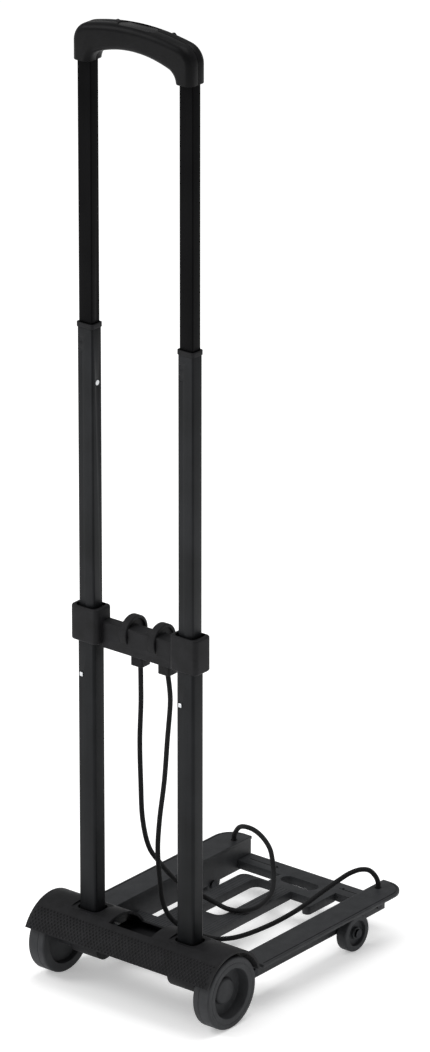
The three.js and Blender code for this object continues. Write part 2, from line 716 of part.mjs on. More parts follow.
const buttonShape = roundedRect(
  [-button.halfLength, button.halfLength],
  [-button.halfWidth, button.halfWidth],
  button.halfWidth,
);
place('push_button', prismZ(buttonShape, [buttonBottom, buttonBottom + button.height], 4), finish.button);
const yokeHalfLength = mastX + yoke.halfDepth;
const yokeBar = box(
  [-yokeHalfLength, yokeHalfLength],
  [-yoke.halfDepth, yoke.halfDepth],
  [yokeBottom, yokeTop],
);
place('release_yoke', yokeBar, finish.inner);

for (const { side, sign } of sides) {
  const rodEnd = upperLockZ + rodClearance;
  const pushRod = rod('z', rodRadius, [rodEnd, yokeBottom - gap], [sign * mastX, 0], 12);
  place(`release_rod_${side}`, pushRod, finish.steel);
  const screwPlace = [sign * handleScrew.x, handleScrew.z];
  const shankReach = [-handleScrew.depth, handleScrew.seat + gap + screwSink];
  const shank = rod('y', handleScrew.shank, shankReach, screwPlace, 12);
  const headReach = [handleScrew.seat + gap, handleScrew.seat + gap + handleScrew.headHeight];
  const head = rod('y', handleScrew.head, headReach, screwPlace, 14);
  place(`handle_screw_${side}`, joined(shank, head), finish.steel);
}

// Return springs stand in pockets under the yoke.
class Helix extends THREE.Curve {
  constructor(x, radius, bottom, top, turns) {
    super();
    Object.assign(this, { x, radius, bottom, top, turns });
  }

  getPoint(t, target = new THREE.Vector3()) {
    const angle = 2 * Math.PI * this.turns * t;
    const z = THREE.MathUtils.lerp(this.bottom, this.top, t);
    return target.set(this.x + this.radius * Math.cos(angle), this.radius * Math.sin(angle), z);
  }
}

function alongCurve(curve, radius, sectionSides, steps) {
  const outline = [];
  for (let i = 0; i < sectionSides; i++) {
    const angle = (2 * Math.PI * i) / sectionSides;
    outline.push(new THREE.Vector2(radius * Math.cos(angle), radius * Math.sin(angle)));
  }
  const settings = { steps, extrudePath: curve, bevelEnabled: false };
  return solid(new THREE.ExtrudeGeometry(new THREE.Shape(outline), settings));
}

for (const { side, sign } of sides) {
  const bottom = springSeat + gap + springWire;
  const top = yokeBottom - gap - springWire;
  const helix = new Helix(sign * yoke.springX, springRadius - springWire, bottom, top, springTurns);
  place(`button_spring_${side}`, alongCurve(helix, springWire, 5, springTurns * 7), finish.steel);
}

// ---- folding platform ---------------------------------------------------------------------------
const deckHalfWidth = railInnerX - gap;
const deckBottomZ = deckTopZ - deckDepth;
const frontBarFrontY = platformFrontY - frontBarInset;
const frontBarRearY = frontBarFrontY - frontBarWidth;
const leftRib = [leftRibX - ribWidth / 2, leftRibX + ribWidth / 2];
const middleRib = [middleRibX - ribWidth / 2, middleRibX + ribWidth / 2];

function deckFrame() {
  const deck = [deckBottomZ, deckTopZ];
  const plate = (x, y, r) => prismZ(roundedRect(x, y, r), deck);
  const rearBar = [deckRearY, deckRearY + rearBarWidth];
  let body = joined(
    box([-deckHalfWidth, deckHalfWidth], rearBar, deck),
    box([-deckHalfWidth, middleRib[1]], [deckRearY, rearPlateFrontY], deck),
    plate([leftRib[0], middleRib[1]], [deckRearY, ribFrontY], 8),
    plate([gripLobe.left, gripLobe.right], [gripLobe.rearY, frontBarRearY + overlap], 6),
    plate([stubLug.left, stubLug.right], [stubLug.rearY, frontBarRearY + overlap], 4.5),
    box([-deckHalfWidth, deckHalfWidth], [frontBarRearY, frontBarFrontY], deck),
  );
  const window = roundedRect(
    [leftRib[1], middleRib[0]],
    [windowRearY, ribFrontY - deckWall],
    windowCorner,
  );
  const slot = roundedRect(
    [-gripSlot.halfLength, gripSlot.halfLength],
    [gripSlot.y - gripSlot.halfWidth, gripSlot.y + gripSlot.halfWidth],
    gripSlot.halfWidth,
  );
  const through = [deckBottomZ - overlap, deckTopZ + overlap];
  body = cut(body, prismZ(window, through, 3), prismZ(slot, through, 4));

  // Hollow underside, open at the bottom.
  const ceiling = [deckBottomZ - overlap, deckTopZ - deckWall];
  const pocket = (x, y) => {
    const inX = [x[0] + deckWall, x[1] - deckWall];
    return box(inX, [y[0] + deckWall, y[1] - deckWall], ceiling);
  };
  const boss = deckHalfWidth - railScrew.engagement;
  body = cut(
    body,
    pocket([-boss, boss], [gripSlot.y + gripSlot.halfWidth, frontBarFrontY]),
    pocket(leftRib, [rearPlateFrontY, ribFrontY]),
    pocket(middleRib, [rearPlateFrontY, ribFrontY]),
    pocket([-boss, middleRib[1]], [deckRearY + rearBarWidth, rearPlateFrontY]),
  );

  for (const { sign } of sides) {
    const inner = mastX - socket.width / 2 + lugThickness + sideGap;
    const outer = mastX + socket.width / 2 - lugThickness - sideGap;
    const arm = new THREE.Shape();
    arm.moveTo(hingeY, hingeZ - knuckleRadius);
    arm.absarc(hingeY, hingeZ, knuckleRadius, 1.5 * Math.PI, 0.4 * Math.PI, true);
    arm.lineTo(deckRearY + rearBarWidth, deckTopZ - 1);
    arm.lineTo(deckRearY + rearBarWidth, deckBottomZ);
    arm.lineTo(deckRearY - 3, deckBottomZ);
    body = joined(body, prismX(arm, span(sign, inner, outer), 4));
    const pinBore = span(sign, inner - overlap, outer + overlap);
    const slit = span(sign, frontSlit.inner, frontSlit.outer);
    const slitY = [frontSlit.y - frontSlit.halfWidth, frontSlit.y + frontSlit.halfWidth];
    body = cut(
      body,
      rod('x', hingePinRadius + gap, pinBore, [hingeY, hingeZ], 24),
      box(slit, slitY, [deckTopZ - frontSlit.depth, deckTopZ + overlap]),
    );
    for (const { y, z } of railScrewPlaces) {
      const reach = span(sign, boss - gap, deckHalfWidth + overlap);
      body = cut(body, rod('x', screw.shank + gap, reach, [y, z], 16));
    }
  }
  return body;
}
place('deck_frame', deckFrame(), finish.deck);

function sideRail(sign) {
  const flange = new THREE.Shape();
  flange.moveTo(sign * railInnerX, railRearY);
  flange.lineTo(sign * railOuterX, railRearY);
  const cornerX = sign * (railOuterX - railCorner);
  const cornerY = platformFrontY - railCorner;
  if (sign > 0) flange.absarc(cornerX, cornerY, railCorner, 0, Math.PI / 2, false);
  else flange.absarc(cornerX, cornerY, railCorner, Math.PI, Math.PI / 2, true);
  flange.lineTo(sign * railInnerX, platformFrontY);
  const wallX = span(sign, railInnerX, railInnerX + railThickness);
  const wallTop = railTopZ - railThickness + overlap / 2;
  const boreX = span(sign, railInnerX - overlap, railInnerX + railThickness + overlap);
  const wheelPlace = [frontWheel.y, frontWheel.radius];
  let body = joined(
    prismZ(flange, [railTopZ - railThickness, railTopZ], 4),
    box(wallX, [railRearY, platformFrontY - railWallInset], [railBottomZ, wallTop]),
    rod('x', frontWheelEar, wallX, wheelPlace, 24),
  );
  const holeReach = [railTopZ - railThickness - overlap, railTopZ + overlap];
  body = cut(
    body,
    rod('z', cordHole.radius, holeReach, [sign * cordHole.x, cordHole.y], 24),
    rod('x', frontAxle.radius + gap, boreX, wheelPlace, 20),
  );
  for (const { y, z } of railScrewPlaces) {
    body = cut(body, rod('x', screw.shank + gap, boreX, [y, z], 16));
  }
  return body;
}

function frontWheelShape(sign) {
  const inner = railInnerX + railThickness + frontWheel.standOff;
  const outer = inner + frontWheel.width;
  const profile = [
    [frontAxle.radius + gap, inner],
    [frontWheel.radius - 1, inner],
    [frontWheel.radius, inner + 1],
    [frontWheel.radius, outer - 1],
    [frontWheel.radius - 1, outer],
    [frontWheel.recess, outer],
    [frontWheel.recess, outer - frontWheel.recessDepth],
    [frontWheel.boss, outer - frontWheel.recessDepth],
    [frontWheel.boss, outer - gap],
    [frontAxle.radius + gap, outer - gap],
    [frontAxle.radius + gap, inner],
  ];
  return turnedX(profile.map(([r, x]) => [r, sign * x]), [frontWheel.y, frontWheel.radius], 24);
}

for (const { side, sign } of sides) {
  place(`side_rail_${side}`, sideRail(sign), finish.deck);
  for (const { name, y, z } of railScrewPlaces) {
    const wallFace = railInnerX + railThickness;
    const shankReach = span(sign, deckHalfWidth - railScrew.engagement, wallFace + gap + screwSink);
    const shank = rod('x', screw.shank, shankReach, [y, z], 12);
    const headReach = span(sign, wallFace + gap, wallFace + gap + railScrew.headHeight);
    const head = rod('x', screw.head, headReach, [y, z], 14);
    place(`rail_screw_${name}_${side}`, joined(shank, head), finish.steel);
  }
  place(`front_wheel_${side}`, frontWheelShape(sign), finish.tyre);
  const wheelPlace = [frontWheel.y, frontWheel.radius];
  const wheelOuter = railInnerX + railThickness + frontWheel.standOff + frontWheel.width;
  const pinReach = span(sign, railInnerX - frontAxle.head, wheelOuter + frontAxle.head);
  const innerReach = span(sign, railInnerX - gap - frontAxle.head, railInnerX - gap);
  const outerReach = span(sign, wheelOuter + gap, wheelOuter + gap + frontAxle.head);
  const pin = rod('x', frontAxle.radius, pinReach, wheelPlace, 14);
  const innerHead = rod('x', frontAxle.headRadius, innerReach, wheelPlace, 24);
  const outerHead = rod('x', frontAxle.headRadius, outerReach, wheelPlace, 24);
  place(`front_axle_${side}`, joined(pin, innerHead, outerHead), finish.steel);
  const knot = new THREE.SphereGeometry(cordKnot.radius, 10, 6);
  knot.rotateX(Math.PI / 2);
  place(`cord_knot_${side}`, solid(knot.translate(sign * cordHole.x, cordHole.y, cordKnot.z)), finish.cord);
}

// ---- elastic cords ------------------------------------------------------------------------------
const cordStartZ = shelf.bottom - gap - anchor.height - gap;
const cordEndZ = cordKnot.z + cordKnot.radius + gap;
// Points between each anchor and its hole.
const leftCordPoints = [
  [-18, 22.5, 316],
  [-20, 25, 295],
  [-24, 28, 254],
  [-28, 34, 209],
  [-33, 43, 162],
  [-37, 58, 126],
  [-38, 77, 102],
  [-41, 104, 74],
  [-44, 130, 54],
  [-40, 147, 41],
  [-29, 150, 37],
  [-13, 149, 35.5],
  [0, 153, 35.5],
  [7, 165, 35.5],
  [6, 185, 36.5],
  [-1, 204, 39],
  [-13, 222, 46],
  [-23, 232, 57],
  [-31, 238, 64],
  [-45, 244, 70],
  [-58, 247, 73],
  [-69, 248, 73],
  [-79, 251, 69],
  [-86, 254, 62],
];
const rightCordPoints = [
  [17.5, 22.5, 318],
  [16, 25, 304],
  [10, 28, 263],
  [3, 32, 218],
  [-8, 38, 171],
  [-16, 45, 135],
  [-21, 54, 100],
  [-26, 66, 66],
  [-25, 79, 45],
  [-8, 83, 37.5],
  [20, 86, 36],
  [31, 95, 36],
  [37, 107, 36],
  [43, 128, 37],
  [49, 151, 40],
  [54, 179, 45],
  [58, 210, 53],
  [62, 229, 59],
  [67, 242, 64],
  [75, 249, 67.5],
  [82, 253, 67],
  [88, 255.5, 61],
];
for (const { side, sign, points, arrivalZ } of [
  { side: 'left', sign: -1, points: leftCordPoints, arrivalZ: 54 },
  { side: 'right', sign: 1, points: rightCordPoints, arrivalZ: 55 },
]) {
  const stops = [
    [sign * anchor.x, anchor.y, cordStartZ],
    ...points,
    [sign * cordHole.x, cordHole.y, arrivalZ],
    [sign * cordHole.x, cordHole.y, railTopZ],
    [sign * cordHole.x, cordHole.y, cordEndZ],
  ];
  const route = new THREE.CatmullRomCurve3(stops.map((stop) => new THREE.Vector3(...stop)));
  place(`bungee_cord_${side}`, alongCurve(route, cordRadius, 8, cordSteps), finish.cord);
}

export default cart;
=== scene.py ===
import json
import math

import bmesh
import bpy
from mathutils import Matrix, Vector


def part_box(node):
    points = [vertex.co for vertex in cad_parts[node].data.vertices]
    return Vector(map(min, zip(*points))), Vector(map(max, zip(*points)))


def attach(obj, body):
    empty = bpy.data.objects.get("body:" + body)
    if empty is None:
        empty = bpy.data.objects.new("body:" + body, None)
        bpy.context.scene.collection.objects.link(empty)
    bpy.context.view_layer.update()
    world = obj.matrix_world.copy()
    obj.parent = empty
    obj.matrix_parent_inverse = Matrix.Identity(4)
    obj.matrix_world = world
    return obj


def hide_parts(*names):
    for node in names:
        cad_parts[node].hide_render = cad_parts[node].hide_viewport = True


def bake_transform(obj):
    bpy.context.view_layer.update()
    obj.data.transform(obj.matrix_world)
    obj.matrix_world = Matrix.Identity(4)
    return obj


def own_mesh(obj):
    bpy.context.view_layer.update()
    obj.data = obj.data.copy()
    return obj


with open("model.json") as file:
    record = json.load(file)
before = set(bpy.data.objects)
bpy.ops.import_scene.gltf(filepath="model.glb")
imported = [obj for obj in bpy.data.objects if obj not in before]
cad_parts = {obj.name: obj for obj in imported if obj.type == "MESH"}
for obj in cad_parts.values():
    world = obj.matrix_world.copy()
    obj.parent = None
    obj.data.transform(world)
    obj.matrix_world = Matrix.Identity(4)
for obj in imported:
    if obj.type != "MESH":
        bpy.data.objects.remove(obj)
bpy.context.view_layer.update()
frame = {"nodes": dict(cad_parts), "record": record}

MM = 0.001
AXLE_Y = -117.815  # the rear axle's Y, millimetres

# ---- camera and light -----------------------------------------------------------------------

CAMERA_PLACE = (3.82572, -4.76534, 2.88372)
# Its turn about the upright, its dip below level and its roll, in degrees.
CAMERA_TURN, CAMERA_DIP, CAMERA_ROLL = 38.7898, 21.6993, 0.0732


def linear(code):
    """An sRGB hex colour as linear RGBA."""
    parts = [int(code[i : i + 2], 16) / 255 for i in (1, 3, 5)]
    curve = [c / 12.92 if c <= 0.04045 else ((c + 0.055) / 1.055) ** 2.4 for c in parts]
    return (*curve, 1.0)


scene = bpy.context.scene
scene.view_settings.view_transform = "Standard"
scene.view_settings.look = "None"

camera_data = bpy.data.cameras.new("camera")
camera_data.lens = 236.18
camera_data.sensor_width = 36
camera_data.clip_end = 60
camera = bpy.data.objects.new("camera", camera_data)
scene.collection.objects.link(camera)
camera.location = CAMERA_PLACE
camera.rotation_euler = (
    Matrix.Rotation(math.radians(CAMERA_TURN), 4, "Z")
    @ Matrix.Rotation(math.radians(90 - CAMERA_DIP), 4, "X")
    @ Matrix.Rotation(math.radians(CAMERA_ROLL), 4, "Z")
).to_euler()
scene.camera = camera

world = bpy.data.worlds.new("studio")
scene.world = world
world.use_nodes = True
world.node_tree.nodes["Background"].inputs["Color"].default_value = (1, 1, 1, 1)
world.node_tree.nodes["Background"].inputs["Strength"].default_value = 0.4


def softbox(name, place, aim, size, energy):
    """A rectangular lamp of that size in metres and energy in watts, turned to face its aim."""
    data = bpy.data.lights.new(name, "AREA")
    data.shape = "RECTANGLE"
    data.size, data.size_y = size
    data.energy = energy
    lamp = bpy.data.objects.new(name, data)
    lamp.location = place
    lamp.rotation_euler = (Vector(aim) - Vector(place)).to_track_quat("-Z", "Y").to_euler()
    scene.collection.objects.link(lamp)


softbox("key_softbox", (-3.2, -2.6, 3.6), (0, 0, 0.4), (2.6, 2.6), 110)
softbox("top_softbox", (0.3, 0.6, 4.2), (0, 0, 0.3), (3.0, 3.0), 88)
softbox("low_softbox", (-1.0, -2.2, 0.45), (0, -0.1, 0.2), (1.0, 0.8), 9)
softbox("side_softbox", (4.2, 0.6, 1.2), (0, 0, 0.4), (1.2, 2.0), 14)


# ---- nodes and materials --------------------------------------------------------------------


def add(tree, kind, settings=None, **sockets):
    """Adds a node: its properties, then a value or a link for each input, by name or as i0, i1."""
    node = tree.nodes.new(kind)
    for key, value in (settings or {}).items():
        setattr(node, key, value)
    for key, value in sockets.items():
        numbered = key[0] == "i" and key[1:].isdigit()
        socket = node.inputs[int(key[1:]) if numbered else key.replace("_", " ")]
        if isinstance(value, bpy.types.NodeSocket):
            tree.links.new(value, socket)
        else:
            socket.default_value = value
    return node


def blank(name):
    """A new material with an empty Principled shader; returns the material, its tree and shader."""
    material = bpy.data.materials.new(name)
    material.use_nodes = True
    tree = material.node_tree
    tree.nodes.clear()
    shader = add(tree, "ShaderNodeBsdfPrincipled")
    output = add(tree, "ShaderNodeOutputMaterial")
    tree.links.new(shader.outputs["BSDF"], output.inputs["Surface"])
    return material, tree, shader


MOTTLE_MM = 14
PIT_DEPTH_MM = 0.06
DIE_LINE_MM = 1.1
DIE_LINE_DEPTH_MM = 0.03
FILM_MM = 45
CLOUD_MM = 2.5


def moulded(name, dark, light, roughness, gloss, grain_mm=0.55, bump=0.25):
    """Injection-moulded plastic with a spark-eroded grain: fine pits and faint flow mottling."""
    material, tree, shader = blank(name)
    place = add(tree, "ShaderNodeTexCoord").outputs["Object"]
    grain = add(
        tree,
        "ShaderNodeTexNoise",
        {"noise_dimensions": "3D"},
        Vector=place,
        Scale=1 / (grain_mm * MM * 2),
        Detail=3.0,
        Roughness=0.6,
    )
    mottle = add(
        tree,
        "ShaderNodeTexNoise",
        Vector=place,
        Scale=1 / (MOTTLE_MM * MM),
        Detail=4.0,
        Roughness=0.65,
    )
    both = add(
        tree,
        "ShaderNodeMath",
        {"operation": "MULTIPLY_ADD"},
        i0=grain.outputs["Fac"],
        i1=0.35,
        i2=mottle.outputs["Fac"],
    )
    shade = add(tree, "ShaderNodeValToRGB", Fac=both.outputs[0])
    shade.color_ramp.elements[0].position = 0.45
    shade.color_ramp.elements[0].color = linear(dark)
    shade.color_ramp.elements[1].position = 0.9
    shade.color_ramp.elements[1].color = linear(light)
    tree.links.new(shade.outputs["Color"], shader.inputs["Base Color"])
    rough = add(
        tree,
        "ShaderNodeMapRange",
        i0=grain.outputs["Fac"],
        i1=0.3,
        i2=0.7,
        i3=roughness - 0.06,
        i4=roughness + 0.08,
    )
    tree.links.new(rough.outputs[0], shader.inputs["Roughness"])
    relief = add(
        tree,
        "ShaderNodeBump",
        Strength=bump,
        Distance=PIT_DEPTH_MM * MM,
        Height=grain.outputs["Fac"],
    )
    tree.links.new(relief.outputs["Normal"], shader.inputs["Normal"])
    shader.inputs["IOR"].default_value = 1.5
    shader.inputs["Specular IOR Level"].default_value = gloss
    return material


def drawn_alloy(name, dark, light, roughness, metallic, gloss):
    """Black anodised drawn tube: faint die lines along its length under a satin film."""
    material, tree, shader = blank(name)
    place = add(tree, "ShaderNodeTexCoord").outputs["Object"]
    stretch = add(tree, "ShaderNodeMapping", Vector=place, Scale=(1.0, 1.0, 0.012))
    lines = add(
        tree,
        "ShaderNodeTexNoise",
        Vector=stretch.outputs["Vector"],
        Scale=1 / (DIE_LINE_MM * MM),
        Detail=3.0,
        Roughness=0.6,
    )
    film = add(tree, "ShaderNodeTexNoise", Vector=place, Scale=1 / (FILM_MM * MM), Detail=2.0)
    mix = add(
        tree,
        "ShaderNodeMath",
        {"operation": "MULTIPLY_ADD"},
        i0=lines.outputs["Fac"],
        i1=0.5,
        i2=film.outputs["Fac"],
    )
    shade = add(tree, "ShaderNodeValToRGB", Fac=mix.outputs[0])
    shade.color_ramp.elements[0].position = 0.5
    shade.color_ramp.elements[0].color = linear(dark)
    shade.color_ramp.elements[1].position = 1.0
    shade.color_ramp.elements[1].color = linear(light)
    tree.links.new(shade.outputs["Color"], shader.inputs["Base Color"])
    rough = add(
        tree,
        "ShaderNodeMapRange",
        i0=lines.outputs["Fac"],
        i1=0.3,
        i2=0.7,
        i3=roughness - 0.05,
        i4=roughness + 0.07,
    )
    tree.links.new(rough.outputs[0], shader.inputs["Roughness"])
    relief = add(
        tree,
        "ShaderNodeBump",
        Strength=0.12,
        Distance=DIE_LINE_DEPTH_MM * MM,
        Height=lines.outputs["Fac"],
    )
    tree.links.new(relief.outputs["Normal"], shader.inputs["Normal"])
    shader.inputs["Metallic"].default_value = metallic
    shader.inputs["Specular IOR Level"].default_value = gloss
    return material


def plated_steel(name, code, roughness):
    """Plated or blackened steel, with soft cloudy variation in its polish."""
    material, tree, shader = blank(name)
    place = add(tree, "ShaderNodeTexCoord").outputs["Object"]
    cloud = add(tree, "ShaderNodeTexNoise", Vector=place, Scale=1 / (CLOUD_MM * MM), Detail=3.0)
    rough = add(
        tree,
        "ShaderNodeMapRange",
        i0=cloud.outputs["Fac"],
        i1=0.3,
        i2=0.7,
        i3=roughness - 0.07,
        i4=roughness + 0.1,
    )
    tree.links.new(rough.outputs[0], shader.inputs["Roughness"])
    shader.inputs["Base Color"].default_value = linear(code)
    shader.inputs["Metallic"].default_value = 1.0
    return material


def braided(name, dark, light):
    """Polyester braid over elastic: one set of diagonal yarn bands, with paler tracer yarns."""
    material, tree, shader = blank(name)
    route = add(tree, "ShaderNodeUVMap", {"uv_map": "along"}).outputs["UV"]
    yarn = add(tree, "ShaderNodeTexNoise", Vector=route, Scale=9.0, Detail=2.0)
    one = add(
        tree,
        "ShaderNodeTexWave",
        {"wave_type": "BANDS", "bands_direction": "DIAGONAL"},
        Vector=route,
        Scale=2.1,
        Distortion=0.6,
    )
    pick = add(
        tree,
        "ShaderNodeMath",
        {"operation": "MULTIPLY"},
        i0=one.outputs["Fac"],
        i1=yarn.outputs["Fac"],
    )
    shade = add(tree, "ShaderNodeValToRGB", Fac=pick.outputs[0])
    shade.color_ramp.elements[0].position = 0.3
    shade.color_ramp.elements[0].color = linear(dark)
    shade.color_ramp.elements[1].position = 0.62
    shade.color_ramp.elements[1].color = linear(light)
    tree.links.new(shade.outputs["Color"], shader.inputs["Base Color"])
    shader.inputs["Roughness"].default_value = 0.8
    shader.inputs["Sheen Weight"].default_value = 0.06
    shader.inputs["Specular IOR Level"].default_value = 0.15
    shader.inputs["Sheen Roughness"].default_value = 0.5
    return material


LOOKS = {
    # Matt nylon: soft black with a fine sparkle of grain and hardly any shine.
    "housing_plastic": moulded(
        "moulded nylon, black", "#131314", "#1e1e20", roughness=0.55, gloss=0.13
    ),
    # Polypropylene: a little greyer, waxy, and paler where light rakes over it.
    "deck_plastic": moulded(
        "moulded polypropylene, charcoal", "#222325", "#2f3032", roughness=0.5, gloss=0.2
    ),
    # ABS with a satin polish, so the grip's rounded edges catch a soft line of light.
    "handle_plastic": moulded(
        "moulded ABS, black satin", "#0b0b0c", "#131314", roughness=0.4, gloss=0.07,
        grain_mm=0.45, bump=0.15,
    ),
    # The same ABS polished: darker and shinier than the grip round it.
    "button_plastic": moulded(
        "polished ABS, black", "#08080a", "#0f0f10", roughness=0.24, gloss=0.16,
        grain_mm=0.4, bump=0.05,
    ),
    # Anodised tube: near black, with faint lengthwise die lines in the highlight.
    "upper_tube_alloy": drawn_alloy(
        "black anodised aluminium, deep", "#060607", "#0c0c0d",
        roughness=0.38, metallic=0.12, gloss=0.03,
    ),
    # The same film on the middle and lower tubes, rubbed a little greyer.
    "tube_alloy": drawn_alloy(
        "black anodised aluminium, grey", "#141516", "#1f2022",
        roughness=0.4, metallic=0.34, gloss=0.13,
    ),
    # Bright zinc: mirror-like with a cloudy bloom.
    "bright_steel": plated_steel("zinc-plated steel", "#c6c8ca", roughness=0.28),
    # Black oxide: dark steel with an oily sheen.
    "black_steel": plated_steel("black oxide steel", "#26272a", roughness=0.42),
    # Wheel polymer: mid grey, dry and slightly rough from rolling.
    "wheel_plastic": moulded(
        "moulded wheel polymer, grey", "#27282a", "#343537", roughness=0.6, gloss=0.2,
        grain_mm=0.6, bump=0.3,
    ),
    # Acetal: smooth pale grey, for the hidden running parts.
    "inner_plastic": moulded(
        "moulded acetal, grey", "#55575a", "#66686b", roughness=0.45, gloss=0.3
    ),
    # Braid: black yarn with a few grey tracer yarns crossing it.
    "cord_braid": braided("polyester braid, black", "#0a0a0b", "#262729"),
}
SLOT_OF = {part["node"]: part["material_slot"] for part in frame["record"]["subparts"]}
for node_name, node_object in frame["nodes"].items():
    node_object.data.materials.clear()
    node_object.data.materials.append(LOOKS[SLOT_OF[node_name]])

# ---- mesh helpers ---------------------------------------------------------------------------


def finish_mesh(name, mesh, slot, body, nodes=(), smooth_angle=35):
    """Links a piece, shades it, parents it to its body, gives it its slot's material, hides its
    frame nodes.
    """
    piece = bpy.data.objects.new(name, mesh)
    scene.collection.objects.link(piece)
    mesh.materials.clear()
    mesh.materials.append(LOOKS[slot])
    mesh.shade_smooth()
    mesh.set_sharp_from_angle(angle=math.radians(smooth_angle))
    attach(piece, body)
    if nodes:
        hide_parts(*nodes)
    return piece


def closed_mesh(work, name):
    """The plain mesh of a closed bmesh, with its faces turned outwards."""
    bmesh.ops.recalc_face_normals(work, faces=work.faces)
    mesh = bpy.data.meshes.new(name)
    work.to_mesh(mesh)
    work.free()
    return mesh


def baked(piece):
    """The piece's mesh with its modifiers applied, as a new plain mesh; the piece is removed."""
    bpy.context.view_layer.update()
    depsgraph = bpy.context.evaluated_depsgraph_get()
    mesh = bpy.data.meshes.new_from_object(piece.evaluated_get(depsgraph))
    bpy.data.objects.remove(piece)
    return mesh


def softened(node, width_mm, segments=2, angle=40):
    """A merged copy of a frame node whose sharp edges are rounded over."""
    work = bmesh.new()
    work.from_mesh(frame["nodes"][node].data)
    bmesh.ops.remove_doubles(work, verts=work.verts, dist=1e-6)
    bmesh.ops.dissolve_limit(
        work,
        angle_limit=math.radians(1.0),
        verts=work.verts,
        edges=work.edges,
    )
    mesh = bpy.data.meshes.new(node + "_soft")
    work.to_mesh(mesh)
    work.free()
    return rounded_edges(mesh, width_mm, segments, angle)


def lathe(profile, centre_y, centre_z, segments=96):
    """A closed solid of revolution about an X axis; the profile's points are (radius, x) in mm."""
    work = bmesh.new()
    rings = []
    for radius, x in profile:
        if radius < 1e-6:
            rings.append([work.verts.new((x * MM, centre_y * MM, centre_z * MM))])
            continue
        ring = []
        for i in range(segments):
            turn = 2 * math.pi * i / segments
            y = centre_y + radius * math.cos(turn)
            z = centre_z + radius * math.sin(turn)
            ring.append(work.verts.new((x * MM, y * MM, z * MM)))
        rings.append(ring)
    pairs = zip(rings, rings[1:] + rings[:1]) if profile[0][0] > 1e-6 else zip(rings, rings[1:])
    for a, b in pairs:
        for i in range(segments):
            j = (i + 1) % segments
            corners = [a[i % len(a)], a[j % len(a)], b[j % len(b)], b[i % len(b)]]
            face = list(dict.fromkeys(corners))
            if len(face) > 2:
                work.faces.new(face)
    return closed_mesh(work, "lathe")


def eased(profile, radius, steps=4):
    """The closed profile with each corner turned into a small arc of about that radius."""
    points = [Vector(p) for p in profile]
    result = []
    for i, corner in enumerate(points):
        before = points[i - 1] - corner
        after = points[(i + 1) % len(points)] - corner
        reach = min(radius, before.length * 0.45, after.length * 0.45)
        on_axis = corner.x < 1e-6
        if on_axis or reach < 0.02:
            result.append(tuple(corner))
            continue
        start = corner + before.normalized() * reach
        end = corner + after.normalized() * reach
        for k in range(steps + 1):
            t = k / steps
            result.append(tuple((1 - t) ** 2 * start + 2 * t * (1 - t) * corner + t**2 * end))
    return result


def prism(outline, low, high, axis="z"):
    """A prism between two levels in mm of an outline drawn across the axis that it runs along."""
    work = bmesh.new()
    ends = []
    for level in (low, high):
        ring = []
        for a, b in outline:
            place = {"x": (level, a, b), "y": (a, level, b), "z": (a, b, level)}[axis]
            ring.append(work.verts.new([c * MM for c in place]))
        ends.append(ring)
        work.faces.new(ring)
    for i in range(len(outline)):
        j = (i + 1) % len(outline)
        work.faces.new((ends[0][i], ends[0][j], ends[1][j], ends[1][i]))
    return closed_mesh(work, "prism")


def rounded_rect(x0, x1, y0, y1, radius, steps=8):
    """The outline of a rectangle with round corners."""
    outline = []
    corners = ((x1 - radius, y0 + radius, -90), (x1 - radius, y1 - radius, 0))
    corners += ((x0 + radius, y1 - radius, 90), (x0 + radius, y0 + radius, 180))
    for cx, cy, start in corners:
        for k in range(steps + 1):
            turn = math.radians(start + 90 * k / steps)
            outline.append((cx + radius * math.cos(turn), cy + radius * math.sin(turn)))
    return outline


def combined(base, tools, operation):
    """The base mesh with each tool mesh joined to it or cut from it."""
    piece = bpy.data.objects.new("work", base)
    scene.collection.objects.link(piece)
    spare = []
    for tool in tools:
        other = bpy.data.objects.new("tool", tool)
        scene.collection.objects.link(other)
        spare.append(other)
        step = piece.modifiers.new("step", "BOOLEAN")
        step.operation = operation
        step.solver = "MANIFOLD"
        step.object = other
    mesh = baked(piece)
    for other in spare:
        bpy.data.objects.remove(other)
    return mesh


def rounded_edges(mesh, width_mm, segments=3, angle=40, clamp=False):
    """The mesh with each edge that is sharper than the angle rounded over."""
    piece = bpy.data.objects.new("work", mesh)
    scene.collection.objects.link(piece)
    bevel = piece.modifiers.new("edge", "BEVEL")
    bevel.width = width_mm * MM
    bevel.segments = segments
    bevel.limit_method = "ANGLE"
    bevel.angle_limit = math.radians(angle)
    bevel.use_clamp_overlap = clamp
    return baked(piece)


# ---- elastic cords --------------------------------------------------------------------------

CORD_RADIUS = 2.5
RIDGE_HEIGHT = 0.1
CORD_STRANDS = 6
YARN_REPEATS = 2.5  # times the yarn pattern goes round the cord
KNOT_RADIUS = 4.1

